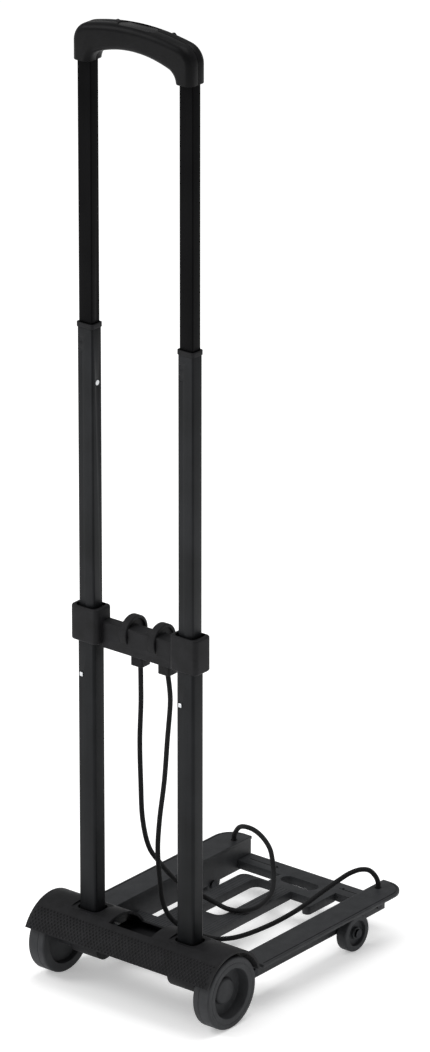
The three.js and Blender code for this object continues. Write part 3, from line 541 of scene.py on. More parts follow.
# Each cord's middle line from its holder to its knot, with Y counted from the rear axle.
ROUTES = {
    "left": [
        (-16.6, 20.5, 335.9), (-18, 22.5, 316), (-20, 25, 295), (-24, 28, 254), (-28, 34, 209),
        (-33, 43, 162), (-37, 58, 126), (-38, 77, 102), (-41, 104, 74), (-44, 130, 54),
        (-40, 147, 41), (-29, 150, 37), (-13, 149, 35.5), (0, 153, 35.5), (7, 165, 35.5),
        (6, 185, 36.5), (-1, 204, 39), (-13, 222, 46), (-23, 232, 57), (-31, 238, 64),
        (-45, 244, 70), (-58, 247, 73), (-69, 248, 73), (-79, 251, 69), (-86, 254, 62),
        (-90.5, 256, 54), (-90.5, 256, 50), (-90.5, 256, 43.9),
    ],
    "right": [
        (16.6, 20.5, 335.9), (17.5, 22.5, 318), (16, 25, 304), (10, 28, 263), (3, 32, 218),
        (-8, 38, 171), (-16, 45, 135), (-21, 54, 100), (-26, 66, 66), (-25, 79, 45),
        (-8, 83, 37.5), (20, 86, 36), (31, 95, 36), (37, 107, 36), (43, 128, 37),
        (49, 151, 40), (54, 179, 45), (58, 210, 53), (62, 229, 59), (67, 242, 64),
        (75, 249, 67.5), (82, 253, 67), (88, 255.5, 61), (90.5, 256, 55), (90.5, 256, 50),
        (90.5, 256, 43.9),
    ],
}


def smooth_route(points, step_mm, parts=24):
    """Centripetal Catmull-Rom through the points, resampled at even steps."""
    points = [Vector(p) for p in points]
    points = [2 * points[0] - points[1]] + points + [2 * points[-1] - points[-2]]
    fine = []
    for i in range(1, len(points) - 2):
        p0, p1, p2, p3 = points[i - 1 : i + 3]
        t0 = 0.0
        t1 = t0 + (p1 - p0).length ** 0.5
        t2 = t1 + (p2 - p1).length ** 0.5
        t3 = t2 + (p3 - p2).length ** 0.5
        for k in range(parts):
            t = t1 + (t2 - t1) * k / parts
            a1 = p0.lerp(p1, (t - t0) / (t1 - t0))
            a2 = p1.lerp(p2, (t - t1) / (t2 - t1))
            a3 = p2.lerp(p3, (t - t2) / (t3 - t2))
            b1 = a1.lerp(a2, (t - t0) / (t2 - t0))
            b2 = a2.lerp(a3, (t - t1) / (t3 - t1))
            fine.append(b1.lerp(b2, (t - t1) / (t2 - t1)))
    fine.append(points[-2])
    reach = [0.0]
    for a, b in zip(fine, fine[1:]):
        reach.append(reach[-1] + (b - a).length)
    count = max(2, round(reach[-1] / step_mm))
    route, k = [], 0
    for i in range(count + 1):
        want = reach[-1] * i / count
        while k < len(reach) - 2 and reach[k + 1] < want:
            k += 1
        route.append(fine[k].lerp(fine[k + 1], (want - reach[k]) / (reach[k + 1] - reach[k])))
    return route, reach[-1]


def braid_tube(name, points, sides=24, step_mm=0.7):
    """A round cord whose surface carries the low crossing ridges of a braided sleeve."""
    route, length = smooth_route(points, step_mm)
    pitch = CORD_STRANDS / CORD_RADIUS
    work = bmesh.new()
    layer = work.loops.layers.uv.new("along")
    across = Vector((1, 0, 0))
    rings = []
    for i, here in enumerate(route):
        ahead = route[min(i + 1, len(route) - 1)] - route[max(i - 1, 0)]
        ahead.normalize()
        across = (across - ahead * across.dot(ahead)).normalized()
        other = ahead.cross(across)
        s = i * length / (len(route) - 1)
        ring = []
        for k in range(sides):
            turn = 2 * math.pi * k / sides
            ridge = max(
                math.cos(CORD_STRANDS * turn + pitch * s),
                math.cos(CORD_STRANDS * turn - pitch * s),
            )
            radius = CORD_RADIUS - RIDGE_HEIGHT + RIDGE_HEIGHT * ridge
            offset = across * math.cos(turn) + other * math.sin(turn)
            spot = here + offset * radius
            ring.append(work.verts.new((spot.x * MM, (spot.y + AXLE_Y) * MM, spot.z * MM)))
        rings.append(ring)
    for i in range(len(rings) - 1):
        for k in range(sides):
            m = (k + 1) % sides
            face = work.faces.new((rings[i][k], rings[i][m], rings[i + 1][m], rings[i + 1][k]))
            s = i * length / (len(route) - 1)
            for loop, u, v in zip(face.loops, (k, k + 1, k + 1, k), (0, 0, 1, 1)):
                along = (s + v * step_mm) / (2 * math.pi * CORD_RADIUS)
                loop[layer].uv = (u / sides * YARN_REPEATS, along * YARN_REPEATS)
    work.faces.new(reversed(rings[0]))
    work.faces.new(rings[-1])
    mesh = closed_mesh(work, name)
    path = [(p.x * MM, (p.y + AXLE_Y) * MM, p.z * MM) for p in route[::4] + route[-1:]]
    return mesh, path, length


def tied_knot(name, centre, radius):
    """A small tight knot: a round strand on a trefoil path, inside a ball of that radius."""
    strand, steps, sides = radius * 0.36, 72, 14
    trefoil_reach = 3.05
    spots = []
    for i in range(steps):
        t = 2 * math.pi * i / steps
        x = math.sin(t) + 2 * math.sin(2 * t)
        y = math.cos(t) - 2 * math.cos(2 * t)
        spots.append(Vector((x, y, -math.sin(3 * t))) * (radius - strand) / trefoil_reach)
    work = bmesh.new()
    layer = work.loops.layers.uv.new("along")
    rings = []
    for i, spot in enumerate(spots):
        ahead = (spots[(i + 1) % steps] - spots[i - 1]).normalized()
        across = ahead.cross(Vector((0, 0, 1))).normalized()
        other = ahead.cross(across)
        ring = []
        for k in range(sides):
            turn = 2 * math.pi * k / sides
            place = spot + (across * math.cos(turn) + other * math.sin(turn)) * strand + centre
            ring.append(work.verts.new(place * MM))
        rings.append(ring)
    for i in range(steps):
        j = (i + 1) % steps
        for k in range(sides):
            m = (k + 1) % sides
            face = work.faces.new((rings[i][k], rings[i][m], rings[j][m], rings[j][k]))
            for loop, u, v in zip(face.loops, (k, k + 1, k + 1, k), (i, i, i + 1, i + 1)):
                loop[layer].uv = (u / sides * YARN_REPEATS, v / steps * 6.0)
    mesh = closed_mesh(work, name)
    knot = bpy.data.objects.new(name, mesh)
    scene.collection.objects.link(knot)
    mesh.materials.append(LOOKS["cord_braid"])
    mesh.shade_smooth()
    return knot


for side, points in ROUTES.items():
    mesh, path, length = braid_tube(f"elastic_cord_{side}", points)
    cord = bpy.data.objects.new(f"elastic_cord_{side}", mesh)
    scene.collection.objects.link(cord)
    mesh.materials.append(LOOKS["cord_braid"])
    mesh.shade_smooth()
    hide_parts(f"bungee_cord_{side}")
    low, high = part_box(f"cord_knot_{side}")
    middle = [(a + b) / 2 / MM for a, b in zip(low, high)]
    knot = tied_knot(f"cord_stop_knot_{side}", Vector(middle), KNOT_RADIUS)
    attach(knot, "platform")
    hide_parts(f"cord_knot_{side}")
    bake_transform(cord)

# ---- floor ----------------------------------------------------------------------------------


def studio_floor():
    """A wide matt sheet just under the wheels, lifted a little so its shadows stay pale."""
    mesh = bpy.data.meshes.new("studio_floor")
    reach = 14
    corners = [(-reach, -reach, 0), (reach, -reach, 0), (reach, reach, 0), (-reach, reach, 0)]
    mesh.from_pydata(corners, [], [(0, 1, 2, 3)])
    material, tree, shader = blank("seamless studio paper, white")
    shader.inputs["Base Color"].default_value = (0.93, 0.93, 0.93, 1)
    shader.inputs["Roughness"].default_value = 0.9
    shader.inputs["Emission Color"].default_value = (1, 1, 1, 1)
    shader.inputs["Emission Strength"].default_value = 0.34
    mesh.materials.append(material)
    floor = bpy.data.objects.new("studio_floor", mesh)
    floor.location = (0, 0, -0.0002)
    scene.collection.objects.link(floor)


studio_floor()

# ---- mast -----------------------------------------------------------------------------------

MAST_X = 60.5
# Each tube's width, depth and corner radius.
LOWER = (21.0, 16.5, 3.2)
MIDDLE = (18.6, 14.1, 2.0)
UPPER = (16.2, 11.7, 0.8)
TUBE_WALL = 0.9
TUBE_GAP = 0.3  # clearance round a tube in the moulding that holds it
LATCH_HALF = 2.9
LATCH_WINDOW_Z = (320.6, 325.4)
LOCK_HOLE_Z = 620
CRIMPS_Z = (651, 662)


def tube_outline(x, size, grow=0.0, least=1.2):
    """A tube's outline, grown all round, with corners of at least that radius."""
    width, depth, corner = size
    w, d = width / 2 + grow, depth / 2 + grow
    return rounded_rect(x - w, x + w, AXLE_Y - d, AXLE_Y + d, max(least, corner + grow), 8)


def block(x, y, z):
    """A box given by its limits in mm along X, Y and Z."""
    outline = [(x[0], y[0]), (x[1], y[0]), (x[1], y[1]), (x[0], y[1])]
    return prism(outline, z[0], z[1])


def round_bar(axis, radius, reach, centre, segments=48):
    """A closed round bar along an axis; centre holds its other two coordinates in mm."""
    outline = []
    for i in range(segments):
        turn = 2 * math.pi * i / segments
        outline.append((centre[0] + radius * math.cos(turn), centre[1] + radius * math.sin(turn)))
    return prism(outline, reach[0], reach[1], axis)


def node_limits(node):
    """A frame node's lowest and highest corners in mm."""
    low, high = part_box(node)
    return [c / MM for c in low], [c / MM for c in high]


BODY_OF = {"lower": "base", "middle": "middle_stage", "upper": "upper_stage"}
for side, sign in (("left", -1), ("right", 1)):
    for stage, size in (("lower", LOWER), ("middle", MIDDLE), ("upper", UPPER)):
        low, high = node_limits(f"{stage}_tube_{side}")
        x = sign * MAST_X
        shell = prism(tube_outline(x, size), low[2], high[2])
        bore = prism(tube_outline(x, size, -TUBE_WALL, 0.8), low[2] - 2, high[2] + 2)
        tools = [bore]
        if stage != "upper":
            across = (x - 6 - LATCH_HALF, x - 6 + LATCH_HALF)
            tools.append(block(across, (AXLE_Y - 12, AXLE_Y), LATCH_WINDOW_Z))
        if stage != "lower":
            face = x - sign * (size[0] / 2)
            reach = sorted((face - sign * 2, face + sign * 4))
            tools.append(round_bar("x", LATCH_HALF, reach, (AXLE_Y, LOCK_HOLE_Z)))
        if stage == "middle":
            back = AXLE_Y - size[1] / 2
            for z in CRIMPS_Z:
                dent = block((x - 8.4, x - 3), (back - 1, back + 0.45), (z - 2.8, z + 2.8))
                tools.append(rounded_edges(dent, 0.42, 3))
        mesh = rounded_edges(combined(shell, tools, "DIFFERENCE"), 0.22, 2)
        slot = "upper_tube_alloy" if stage == "upper" else "tube_alloy"
        stands_for = [f"{stage}_tube_{side}"]
        finish_mesh(f"{stage}_mast_tube_{side}", mesh, slot, BODY_OF[stage], stands_for)

    low, high = node_limits(f"middle_ferrule_{side}")
    collar = prism(tube_outline(sign * MAST_X, MIDDLE, 0.9), low[2], high[2])
    bore = prism(tube_outline(sign * MAST_X, UPPER, 0.35), low[2] - 1, high[2] + 1)
    mesh = rounded_edges(combined(collar, [bore], "DIFFERENCE"), 0.35, 3)
    stands_for = [f"middle_ferrule_{side}"]
    finish_mesh(f"mast_collar_{side}", mesh, "housing_plastic", "middle_stage", stands_for)

# ---- handle ---------------------------------------------------------------------------------

HANDLE_HALF = 70.5  # to the outside of its arms
HANDLE_INNER = 50.5  # to the inside of its arms
HANDLE_HALF_DEPTH = 12.5
HANDLE_TOP = 980.0
HANDLE_FOOT = 937.0
SHOULDER_RADIUS = 19
ARCH_RADIUS = 13
SPLIT_GAP = 0.15  # from the handle's middle to each half shell


def arc(cx, cz, radius, start, end, steps):
    """Points on a round arc between two angles in degrees."""
    points = []
    for k in range(steps + 1):
        turn = math.radians(start + (end - start) * k / steps)
        points.append((cx + radius * math.cos(turn), cz + radius * math.sin(turn)))
    return points


def bowed(a, middle, b, steps):
    """A quadratic curve from a to b, drawn towards the middle point."""
    points = []
    for k in range(1, steps):
        t = k / steps
        near, half, far = (1 - t) ** 2, 2 * t * (1 - t), t * t
        points.append(tuple(near * p + half * q + far * r for p, q, r in zip(a, middle, b)))
    return points


def handle_outline(foot):
    """The handle from the front: a low bowed top, round shoulders and an arch between its arms."""
    lean, under = math.radians(13), math.radians(20)
    corner_x = HANDLE_HALF - SHOULDER_RADIUS
    shoulder_x = corner_x + SHOULDER_RADIUS * math.sin(lean)
    rise = shoulder_x * math.tan(lean)
    shoulder_z = HANDLE_TOP - rise / 2
    corner_z = shoulder_z - SHOULDER_RADIUS * math.cos(lean)
    arch_x = HANDLE_INNER - ARCH_RADIUS * (1 - math.sin(under))
    arch_rise = arch_x * math.tan(under)
    arch_z = HANDLE_TOP - 24 - arch_rise / 2
    inner_z = arch_z - ARCH_RADIUS * math.cos(under)
    inner_x = HANDLE_INNER - ARCH_RADIUS
    outline = [(HANDLE_HALF, foot)]
    outline += arc(corner_x, corner_z, SHOULDER_RADIUS, 0, 77, 14)
    peak = (0, shoulder_z + rise)
    outline += bowed((shoulder_x, shoulder_z), peak, (-shoulder_x, shoulder_z), 24)
    outline += arc(-corner_x, corner_z, SHOULDER_RADIUS, 103, 180, 14)
    outline += [(-HANDLE_HALF, foot), (-HANDLE_INNER, foot)]
    outline += arc(-inner_x, inner_z, ARCH_RADIUS, 180, 110, 12)
    outline += bowed((-arch_x, arch_z), (0, arch_z + arch_rise), (arch_x, arch_z), 20)
    outline += arc(inner_x, inner_z, ARCH_RADIUS, 70, 0, 12)
    outline += [(HANDLE_INNER, foot)]
    return outline


def handle_shell():
    """The whole handle, with the key's pocket, the tubes' sockets and the screw holes cut out."""
    back, front = AXLE_Y - HANDLE_HALF_DEPTH, AXLE_Y + HANDLE_HALF_DEPTH
    handle = rounded_edges(prism(handle_outline(HANDLE_FOOT - 10), back, front, "y"), 7, 8, 60)
    wide = HANDLE_HALF + 5
    tools = [block((-wide, wide), (AXLE_Y - 20, AXLE_Y + 20), (HANDLE_FOOT - 30, HANDLE_FOOT))]
    pocket = rounded_rect(-22.3, 22.3, AXLE_Y - 7.8, AXLE_Y + 7.8, 7.79, 14)
    tools.append(prism(pocket, 964.0, HANDLE_TOP + 4))
    for sign in (-1, 1):
        socket = tube_outline(sign * MAST_X, UPPER, TUBE_GAP)
        tools.append(prism(socket, HANDLE_FOOT - 2, 955.3))
        tools.append(round_bar("y", 3.3, (AXLE_Y + 9.2, AXLE_Y + 20), (sign * 33, 974)))
    return combined(handle, tools, "DIFFERENCE")


for name, back, front in (("back", -30, -SPLIT_GAP), ("front", SPLIT_GAP, 30)):
    wide = HANDLE_HALF + 5
    keep = block(
        (-wide, wide), (AXLE_Y + back, AXLE_Y + front), (HANDLE_FOOT - 5, HANDLE_TOP + 5)
    )
    mesh = rounded_edges(combined(handle_shell(), [keep], "INTERSECT"), 0.3, 2, 50)
    stands_for = [f"handle_{name}_shell"]
    finish_mesh(f"grip_shell_{name}", mesh, "handle_plastic", "upper_stage", stands_for)

low, high = node_limits("push_button")
key_shape = rounded_rect(low[0], high[0], low[1], high[1], 7.49, 16)
mesh = rounded_edges(prism(key_shape, low[2], high[2]), 1.1, 5, 50)
finish_mesh("release_key", mesh, "button_plastic", "release", ["push_button"])


def return_spring(name, centre_x, bottom, top):
    """A closed-end compression spring of round wire about a vertical axis, sizes in mm."""
    wire, coil, turns, sides, steps = 0.45, 2.75, 7.0, 10, 196
    work = bmesh.new()
    rings = []
    for i in range(steps + 1):
        t = i / steps
        climb = min(max((t - 0.1) / 0.8, 0.0), 1.0)
        turn = 2 * math.pi * turns * t
        out = Vector((math.cos(turn), math.sin(turn), 0))
        middle = Vector((centre_x, AXLE_Y, bottom + wire + (top - bottom - 2 * wire) * climb))
        ring = []
        for k in range(sides):
            angle = 2 * math.pi * k / sides
            spot = middle + out * (coil + wire * math.cos(angle))
            spot.z += wire * math.sin(angle)
            ring.append(work.verts.new(spot * MM))
        rings.append(ring)
    for a, b in zip(rings, rings[1:]):
        for k in range(sides):
            m = (k + 1) % sides
            work.faces.new((a[k], a[m], b[m], b[k]))
    work.faces.new(reversed(rings[0]))
    work.faces.new(rings[-1])
    return closed_mesh(work, name)


SPRING_X = 34
for side, sign in (("left", -1), ("right", 1)):
    low, high = node_limits(f"button_spring_{side}")
    name = f"return_spring_{side}"
    mesh = return_spring(name, sign * SPRING_X, low[2], high[2])
    spring = finish_mesh(name, mesh, "bright_steel", "upper_stage", [f"button_spring_{side}"], 60)
    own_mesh(spring)

# ---- base housing ---------------------------------------------------------------------------

AXLE_Z = 36.5
HOOD_RADIUS = 43.5
HOOD_INNER = 40.7
HOOD_HALF = 113.0
HOOD_BACK_Z = 55.0
HOOD_FRONT_Z = 49.5
SOCKET_HALF = 16.5
SOCKET_FLOOR = 42
SOCKET_TOP = 78
CUT_TOP = 90  # above everything that is cut down to size
HINGE = (AXLE_Y + 48, 46)
HINGE_EAR = 6
SCREW_RADIUS = 2.3


def hood_outline():
    """The hood's section across the axle: an arch from its front lip over to its back lip."""
    front = math.degrees(math.asin((HOOD_FRONT_Z - AXLE_Z) / HOOD_RADIUS))
    back = 180 - math.degrees(math.asin((HOOD_BACK_Z - AXLE_Z) / HOOD_RADIUS))
    outside = arc(AXLE_Y, AXLE_Z, HOOD_RADIUS, front, back, 56)
    return outside + arc(AXLE_Y, AXLE_Z, HOOD_INNER, back, front, 56)


def base_shell():
    """The hood over the wheels, with the masts' sockets, the hinge lugs and the tray between."""
    joins, cuts, crown = [], [], []
    for sign in (-1, 1):
        x = sign * MAST_X
        wall = sorted((sign * 87, sign * 89.5))
        fence = arc(AXLE_Y, AXLE_Z, HOOD_RADIUS - 1.4, 26, 154, 48)
        joins.append(prism(fence, wall[0], wall[1], "x"))
        across = (x - SOCKET_HALF, x + SOCKET_HALF)
        socket = rounded_rect(*across, AXLE_Y - 15, AXLE_Y + 15, 5, 8)
        crown.append(prism(socket, SOCKET_TOP, CUT_TOP))
        joins.append(prism(socket, SOCKET_FLOOR, SOCKET_TOP))
        joins.append(round_bar("x", 15, across, (AXLE_Y, SOCKET_FLOOR), 72))
        lug = [(AXLE_Y + 13, HINGE[1] - HINGE_EAR), (HINGE[0], HINGE[1] - HINGE_EAR)]
        lug += arc(*HINGE, HINGE_EAR, -90, 90, 20)[1:]
        lug += [(AXLE_Y + 13, HINGE[1] + HINGE_EAR)]
        for from_x, to_x in ((44, 50), (71, 77)):
            reach = sorted((sign * from_x, sign * to_x))
            joins.append(prism(lug, reach[0], reach[1], "x"))
        cuts.append(prism(tube_outline(x, LOWER, TUBE_GAP), SOCKET_FLOOR + 1, CUT_TOP))
        cuts.append(prism(tube_outline(x, LOWER, 2.5), SOCKET_TOP - 10, CUT_TOP))
        cuts.append(round_bar("x", 3.3, sorted((sign * 42, sign * 79)), HINGE))
        cuts.append(round_bar("y", SCREW_RADIUS, (AXLE_Y, AXLE_Y + 20), (x, 48)))
    cuts.append(block((-26.5, 26.5), (AXLE_Y - 17, AXLE_Y + 50), (60, CUT_TOP)))
    cuts.append(round_bar("x", 4.3, (-HOOD_HALF, HOOD_HALF), (AXLE_Y, AXLE_Z)))
    hood = combined(prism(hood_outline(), -HOOD_HALF, HOOD_HALF, "x"), crown, "DIFFERENCE")
    shell = combined(combined(hood, joins, "UNION"), cuts, "DIFFERENCE")
    tray = block((-45, 45), (AXLE_Y - 30, AXLE_Y + 38.6), (50.5, 53))
    return combined(shell, [tray], "UNION")


mesh = rounded_edges(base_shell(), 0.5, 3, 40, True)
finish_mesh("axle_housing", mesh, "housing_plastic", "base", ["base_housing"], 30)

# ---- wheels ---------------------------------------------------------------------------------


FRONT_AXLE = (AXLE_Y + 212, 19)


def mirrored(profile, sign):
    """A lathe profile of (radius, x) points, drawn on the right, for that side of the cart."""
    return [(radius, sign * x) for radius, x in profile]


for side, sign in (("left", -1), ("right", 1)):
    rim = [
        (4.3, 77.8), (8, 77.8), (8, 98), (26, 98), (27, 92.5), (35.3, 92.5), (36.5, 93.7),
        (36.5, 99.4), (36.15, 99.7), (36.15, 100.1), (36.5, 100.4),
        (36.5, 110.8), (35.3, 112), (31.4, 112), (31.1, 111.7), (30.5, 111.7), (30.2, 112),
        (25.2, 112), (24.2, 100.5), (4.3, 100.5),
    ]
    mesh = lathe(eased(mirrored(rim, sign), 0.9), AXLE_Y, AXLE_Z, 128)
    wheel = f"rear_wheel_{side}"
    finish_mesh(f"road_wheel_{side}", mesh, "wheel_plastic", wheel, [wheel])
    boss = [
        (0, 104.5), (11.6, 104.5), (13.5, 102.9), (13.5, 100.8), (4.3, 100.8),
        (4.3, 103.2), (0, 103.2),
    ]
    mesh = lathe(eased(mirrored(boss, sign), 0.9), AXLE_Y, AXLE_Z, 96)
    finish_mesh(f"hub_cap_{side}", mesh, "wheel_plastic", wheel, [f"axle_cap_{side}"])

    inner, outer = 87.2, 99.2
    roller = [
        (2.8, inner), (18, inner), (19, inner + 1), (19, outer - 1), (18, outer), (13, outer),
        (12.6, outer - 4), (6, outer - 4), (6, outer - 0.3), (2.8, outer - 0.3),
    ]
    mesh = lathe(eased(mirrored(roller, sign), 0.6), *FRONT_AXLE, 96)
    wheel = f"front_wheel_{side}"
    finish_mesh(f"roller_{side}", mesh, "wheel_plastic", wheel, [wheel])

# ---- crossbar -------------------------------------------------------------------------------


DISC_X = 17.3
DISC_HALF = 4
DISC_CENTRE = (AXLE_Y + 11, 373.5)
CORD_HOLE = (16.6, AXLE_Y + 20.5)
COLLAR_FOOT = 358
COLLAR_TOP = 394


def crossbar():
    """The beam between the masts: their collars, two flanged discs and the cords' shelf."""
    reach = MAST_X - SOCKET_HALF + 2
    discs = []
    for sign in (-1, 1):
        x0, x1 = sign * DISC_X - DISC_HALF, sign * DISC_X + DISC_HALF
        flange = [
            (0, x0), (7.5, x0), (7.5, x0 + 2.4), (13.3, x0 + 2.4), (13.3, x0), (16.8, x0),
            (16.8, x1), (13.3, x1), (13.3, x1 - 2.4), (7.5, x1 - 2.4), (7.5, x1), (0, x1),
        ]
        discs.append(lathe(eased(flange, 1.0), *DISC_CENTRE, 80))
    discs.append(round_bar("x", 7.5, (-DISC_X, reach), DISC_CENTRE, 40))
    beam = block((-reach, reach), (AXLE_Y - 3, AXLE_Y + 10), (354, 381))
    shelf = prism(rounded_rect(-27, 27, AXLE_Y + 8, AXLE_Y + 29, 3), 352, COLLAR_FOOT)
    joins = [rounded_edges(shelf, 0.8)]
    cuts = []
    for sign in (-1, 1):
        x = sign * MAST_X
        across = (x - SOCKET_HALF, x + SOCKET_HALF)
        collar = prism(
            rounded_rect(*across, AXLE_Y - 12, AXLE_Y + 12, 5, 8), COLLAR_FOOT, COLLAR_TOP
        )
        joins.append(rounded_edges(collar, 2.2, 5, 50))
        cuts.append(prism(tube_outline(x, LOWER, TUBE_GAP), 350, 400))
        cuts.append(prism(tube_outline(x, LOWER, 2.0), COLLAR_TOP - 8, 400))
        cuts.append(round_bar("y", SCREW_RADIUS, (AXLE_Y, AXLE_Y + 20), (x, 368)))
        hole = (sign * CORD_HOLE[0], CORD_HOLE[1])
        cuts.append(round_bar("z", 4.1, (COLLAR_FOOT, 361.6), hole))
        cuts.append(round_bar("z", 3.1, (350, 360), hole))
    body = rounded_edges(beam, 1.2, 4)
    return combined(combined(body, joins + discs, "UNION"), cuts, "DIFFERENCE")


SNAP_REACH = (50.97, 60)  # keeps each snap button clear of the outer tube it slides into
finish_mesh("crossbar", crossbar(), "housing_plastic", "base", ["crossbar_bracket"], 40)
for side, sign in (("left", -1), ("right", 1)):
    for name, node, slot, width, body in (
        ("cord_holder", "cord_anchor", "housing_plastic", 0.7, "base"),
        ("latch_tab", "middle_snap_clip", "bright_steel", 0.3, "middle_stage"),
        ("snap_button", "upper_snap_clip", "bright_steel", 0.5, "upper_stage"),
    ):
        mesh = softened(f"{node}_{side}", width, 3)
        if name == "snap_button":
            reach = sorted((sign * SNAP_REACH[0], sign * SNAP_REACH[1]))
            keep = block(reach, (AXLE_Y - 9, AXLE_Y + 9), (600, 650))
            mesh = combined(mesh, [keep], "INTERSECT")
        piece = finish_mesh(f"{name}_{side}", mesh, slot, body, [f"{node}_{side}"])
        # Sprung parts get a mesh of their own.
        if name == "latch_tab":
            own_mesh(piece)
        if name == "snap_button":
            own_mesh(piece)

# ---- platform -------------------------------------------------------------------------------

RAIL_INNER = 82.5
RAIL_OUTER = 113.5
RAIL_REAR = AXLE_Y + 46.5
RAIL_FRONT = AXLE_Y + 275
RAIL_CORNER = 22
RAIL_SKIN = 3.5
RAIL_TOP = 50
LINE_INSET = 2.4  # of the groove that runs round the rail's outer edge
LINE_WIDTH = 1
CORD_EYE = (90.5, AXLE_Y + 256)


def platform_rail(sign):
    """A side rail: a flange with a round front corner, a web under it and the wheel's ear."""
    corner = (RAIL_OUTER - RAIL_CORNER, RAIL_FRONT - RAIL_CORNER)
    flange = [(RAIL_INNER, RAIL_REAR), (RAIL_OUTER, RAIL_REAR)]
    flange += arc(*corner, RAIL_CORNER, 0, 90, 20)
    flange += [(RAIL_INNER, RAIL_FRONT)]
    top = prism([(sign * a, b) for a, b in flange], RAIL_TOP - RAIL_SKIN, RAIL_TOP)

    far = RAIL_OUTER - LINE_INSET
    radius = RAIL_CORNER - LINE_INSET
    line = [(far, RAIL_REAR + 3)] + arc(*corner, radius, 0, 84, 18)
    line += arc(*corner, radius - LINE_WIDTH, 84, 0, 18) + [(far - LINE_WIDTH, RAIL_REAR + 3)]
    groove = prism([(sign * a, b) for a, b in line], RAIL_TOP - 0.7, RAIL_TOP + 2)
    top = combined(rounded_edges(top, 0.8, 4, 50), [groove], "DIFFERENCE")

    wall = sorted((sign * RAIL_INNER, sign * (RAIL_INNER + RAIL_SKIN)))
    web = rounded_edges(block(wall, (RAIL_REAR, RAIL_FRONT - 1.5), (20, 47.5)), 0.5, 3)
    ear = round_bar("x", 8, wall, FRONT_AXLE)
    through = sorted((sign * 80, sign * 88))
    cuts = [
        round_bar("z", 3.4, (40, 55), (sign * CORD_EYE[0], CORD_EYE[1])),
        round_bar("x", 2.8, through, FRONT_AXLE),
    ]
    cuts += [round_bar("x", SCREW_RADIUS, through, (AXLE_Y + y, 27.5)) for y in (66, 262)]
    return combined(combined(top, [web, ear], "UNION"), cuts, "DIFFERENCE")


for side, sign in (("left", -1), ("right", 1)):
    mesh = platform_rail(sign)
    finish_mesh(f"platform_rail_{side}", mesh, "deck_plastic", "platform", [f"side_rail_{side}"])

mesh = softened("deck_frame", 0.35, 3, 50)
dimples = [round_bar("z", 1.7, (29, 34), (x, AXLE_Y + 263), 24) for x in (-42, 42)]
mesh = combined(mesh, dimples, "DIFFERENCE")
finish_mesh("platform_deck", mesh, "deck_plastic", "platform", ["deck_frame"])

# ---- repeated relief, made with Geometry Nodes ----------------------------------------------


def relief_tree(name, inputs):
    """An empty Geometry Nodes tree with named inputs; returns it with its two end nodes."""
    tree = bpy.data.node_groups.new(name, "GeometryNodeTree")
    tree.interface.new_socket("Geometry", in_out="INPUT", socket_type="NodeSocketGeometry")
    for label, kind in inputs.items():
        tree.interface.new_socket(label, in_out="INPUT", socket_type="NodeSocket" + kind)
    tree.interface.new_socket("Geometry", in_out="OUTPUT", socket_type="NodeSocketGeometry")
    return tree, add(tree, "NodeGroupInput"), add(tree, "NodeGroupOutput")


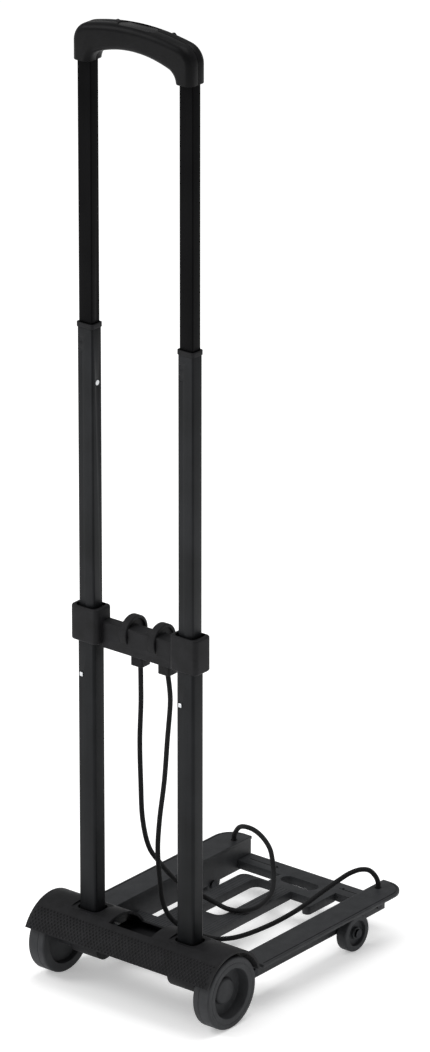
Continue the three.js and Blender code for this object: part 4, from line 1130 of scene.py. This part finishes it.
def knurl_tree():
    """Rows of low four-sided studs, staggered, wrapped round part of a drum along X."""
    inputs = {
        "Length": "Float",
        "Drum radius": "Float",
        "First angle": "Float",
        "Arc": "Float",
        "Columns": "Int",
        "Rows": "Int",
        "Stud radius": "Float",
        "Stud tip": "Float",
        "Stud height": "Float",
        "Centre": "Vector",
        "Material": "Material",
    }
    tree, given, result = relief_tree("knurl_rows", inputs)
    kind = "ShaderNodeMath"
    plus, minus = {"operation": "ADD"}, {"operation": "SUBTRACT"}
    times, over = {"operation": "MULTIPLY"}, {"operation": "DIVIDE"}
    sheet = add(
        tree,
        "GeometryNodeMeshGrid",
        Size_X=given.outputs["Length"],
        Size_Y=given.outputs["Arc"],
        Vertices_X=given.outputs["Columns"],
        Vertices_Y=given.outputs["Rows"],
    )
    position = add(tree, "GeometryNodeInputPosition").outputs[0]
    flat = add(tree, "ShaderNodeSeparateXYZ", Vector=position)
    turn = add(tree, kind, plus, i0=given.outputs["First angle"], i1=flat.outputs["Y"])
    index = add(tree, "GeometryNodeInputIndex").outputs[0]
    before = add(tree, kind, over, i0=index, i1=given.outputs["Rows"])
    column = add(tree, kind, {"operation": "FLOOR"}, i0=before.outputs[0])
    odd = add(tree, kind, {"operation": "MODULO"}, i0=column.outputs[0], i1=2.0)
    side = add(tree, kind, minus, i0=odd.outputs[0], i1=0.5)
    gaps = add(tree, kind, minus, i0=given.outputs["Rows"], i1=1.0)
    row = add(tree, kind, over, i0=given.outputs["Arc"], i1=gaps.outputs[0])
    half_row = add(tree, kind, over, i0=row.outputs[0], i1=2.0)
    shift = add(tree, kind, times, i0=side.outputs[0], i1=half_row.outputs[0])
    angle = add(tree, kind, plus, i0=turn.outputs[0], i1=shift.outputs[0]).outputs[0]
    cosine = add(tree, kind, {"operation": "COSINE"}, i0=angle).outputs[0]
    sine = add(tree, kind, {"operation": "SINE"}, i0=angle).outputs[0]
    y = add(tree, kind, times, i0=cosine, i1=given.outputs["Drum radius"]).outputs[0]
    z = add(tree, kind, times, i0=sine, i1=given.outputs["Drum radius"]).outputs[0]
    spot = add(tree, "ShaderNodeCombineXYZ", X=flat.outputs["X"], Y=y, Z=z)
    placed = add(
        tree,
        "ShaderNodeVectorMath",
        {"operation": "ADD"},
        i0=spot.outputs[0],
        i1=given.outputs["Centre"],
    )
    wrapped = add(
        tree, "GeometryNodeSetPosition", Geometry=sheet.outputs["Mesh"], Position=placed.outputs[0]
    )
    stud = add(
        tree,
        "GeometryNodeMeshCone",
        Vertices=4,
        Radius_Top=given.outputs["Stud tip"],
        Radius_Bottom=given.outputs["Stud radius"],
        Depth=given.outputs["Stud height"],
    )
    tilt = add(tree, kind, minus, i0=angle, i1=math.pi / 2).outputs[0]
    lean = add(tree, "ShaderNodeCombineXYZ", X=tilt, Y=0.0, Z=0.0)
    studs = add(
        tree,
        "GeometryNodeInstanceOnPoints",
        Points=wrapped.outputs["Geometry"],
        Instance=stud.outputs["Mesh"],
        Rotation=lean.outputs[0],
    )
    real = add(tree, "GeometryNodeRealizeInstances", Geometry=studs.outputs["Instances"])
    painted = add(
        tree,
        "GeometryNodeSetMaterial",
        Geometry=real.outputs["Geometry"],
        Material=given.outputs["Material"],
    )
    tree.links.new(painted.outputs["Geometry"], result.inputs["Geometry"])
    return tree


def bead_tree():
    """Parallel low beads along Y, side by side in X."""
    inputs = {
        "First": "Vector",
        "Spacing": "Float",
        "Count": "Int",
        "Length": "Float",
        "Width": "Float",
        "Height": "Float",
        "Material": "Material",
    }
    tree, given, result = relief_tree("parallel_beads", inputs)
    step = add(tree, "ShaderNodeCombineXYZ", X=given.outputs["Spacing"], Y=0.0, Z=0.0)
    row = add(
        tree,
        "GeometryNodeMeshLine",
        {"mode": "OFFSET"},
        Count=given.outputs["Count"],
        Start_Location=given.outputs["First"],
        Offset=step.outputs[0],
    )
    profile = add(
        tree, "GeometryNodeMeshCylinder", {"fill_type": "NGON"}, Vertices=8, Radius=0.5, Depth=1.0
    )
    double = add(
        tree, "ShaderNodeMath", {"operation": "MULTIPLY"}, i0=given.outputs["Height"], i1=2.0
    )
    size = add(
        tree,
        "ShaderNodeCombineXYZ",
        X=given.outputs["Width"],
        Y=double.outputs[0],
        Z=given.outputs["Length"],
    )
    beads = add(
        tree,
        "GeometryNodeInstanceOnPoints",
        Points=row.outputs["Mesh"],
        Instance=profile.outputs["Mesh"],
        Rotation=(math.pi / 2, 0, 0),
        Scale=size.outputs[0],
    )
    real = add(tree, "GeometryNodeRealizeInstances", Geometry=beads.outputs["Instances"])
    painted = add(
        tree,
        "GeometryNodeSetMaterial",
        Geometry=real.outputs["Geometry"],
        Material=given.outputs["Material"],
    )
    tree.links.new(painted.outputs["Geometry"], result.inputs["Geometry"])
    return tree


def grown(tree, values):
    """The plain mesh that a tree makes from these input values."""
    holder = bpy.data.objects.new("work", bpy.data.meshes.new("seed"))
    scene.collection.objects.link(holder)
    step = holder.modifiers.new("relief", "NODES")
    step.node_group = tree
    for item in tree.interface.items_tree:
        if item.item_type == "SOCKET" and item.in_out == "INPUT" and item.name in values:
            step[item.identifier] = values[item.name]
    return baked(holder)


mesh = grown(
    knurl_tree(),
    {
        "Length": 218 * MM,
        "Drum radius": 43.6 * MM,
        "First angle": math.radians(138.0),
        "Arc": math.radians(24),
        "Columns": 109,
        "Rows": 4,
        "Stud radius": 1.55 * MM,
        "Stud tip": 0.35 * MM,
        "Stud height": 0.95 * MM,
        "Centre": (0, AXLE_Y * MM, AXLE_Z * MM),
        "Material": LOOKS["housing_plastic"],
    },
)
finish_mesh("hood_knurl", mesh, "housing_plastic", "base", smooth_angle=10)

DECK_TOP = 32.0
beads = bead_tree()
for place, first_x, spacing, count, rear_y, front_y in (
    ("rear_plate", -79.5, 3.4, 25, 76, 96.5),
    ("left_rib", -56.6, 3.8, 4, 99.5, 228),
    ("middle_rib", -9.1, 3.8, 4, 99.5, 228),
):
    mesh = grown(
        beads,
        {
            "First": (first_x * MM, (AXLE_Y + (rear_y + front_y) / 2) * MM, DECK_TOP * MM),
            "Spacing": spacing * MM,
            "Count": count,
            "Length": (front_y - rear_y) * MM,
            "Width": 1.5 * MM,
            "Height": 0.3 * MM,
            "Material": LOOKS["deck_plastic"],
        },
    )
    finish_mesh(f"{place}_tread", mesh, "deck_plastic", "platform")
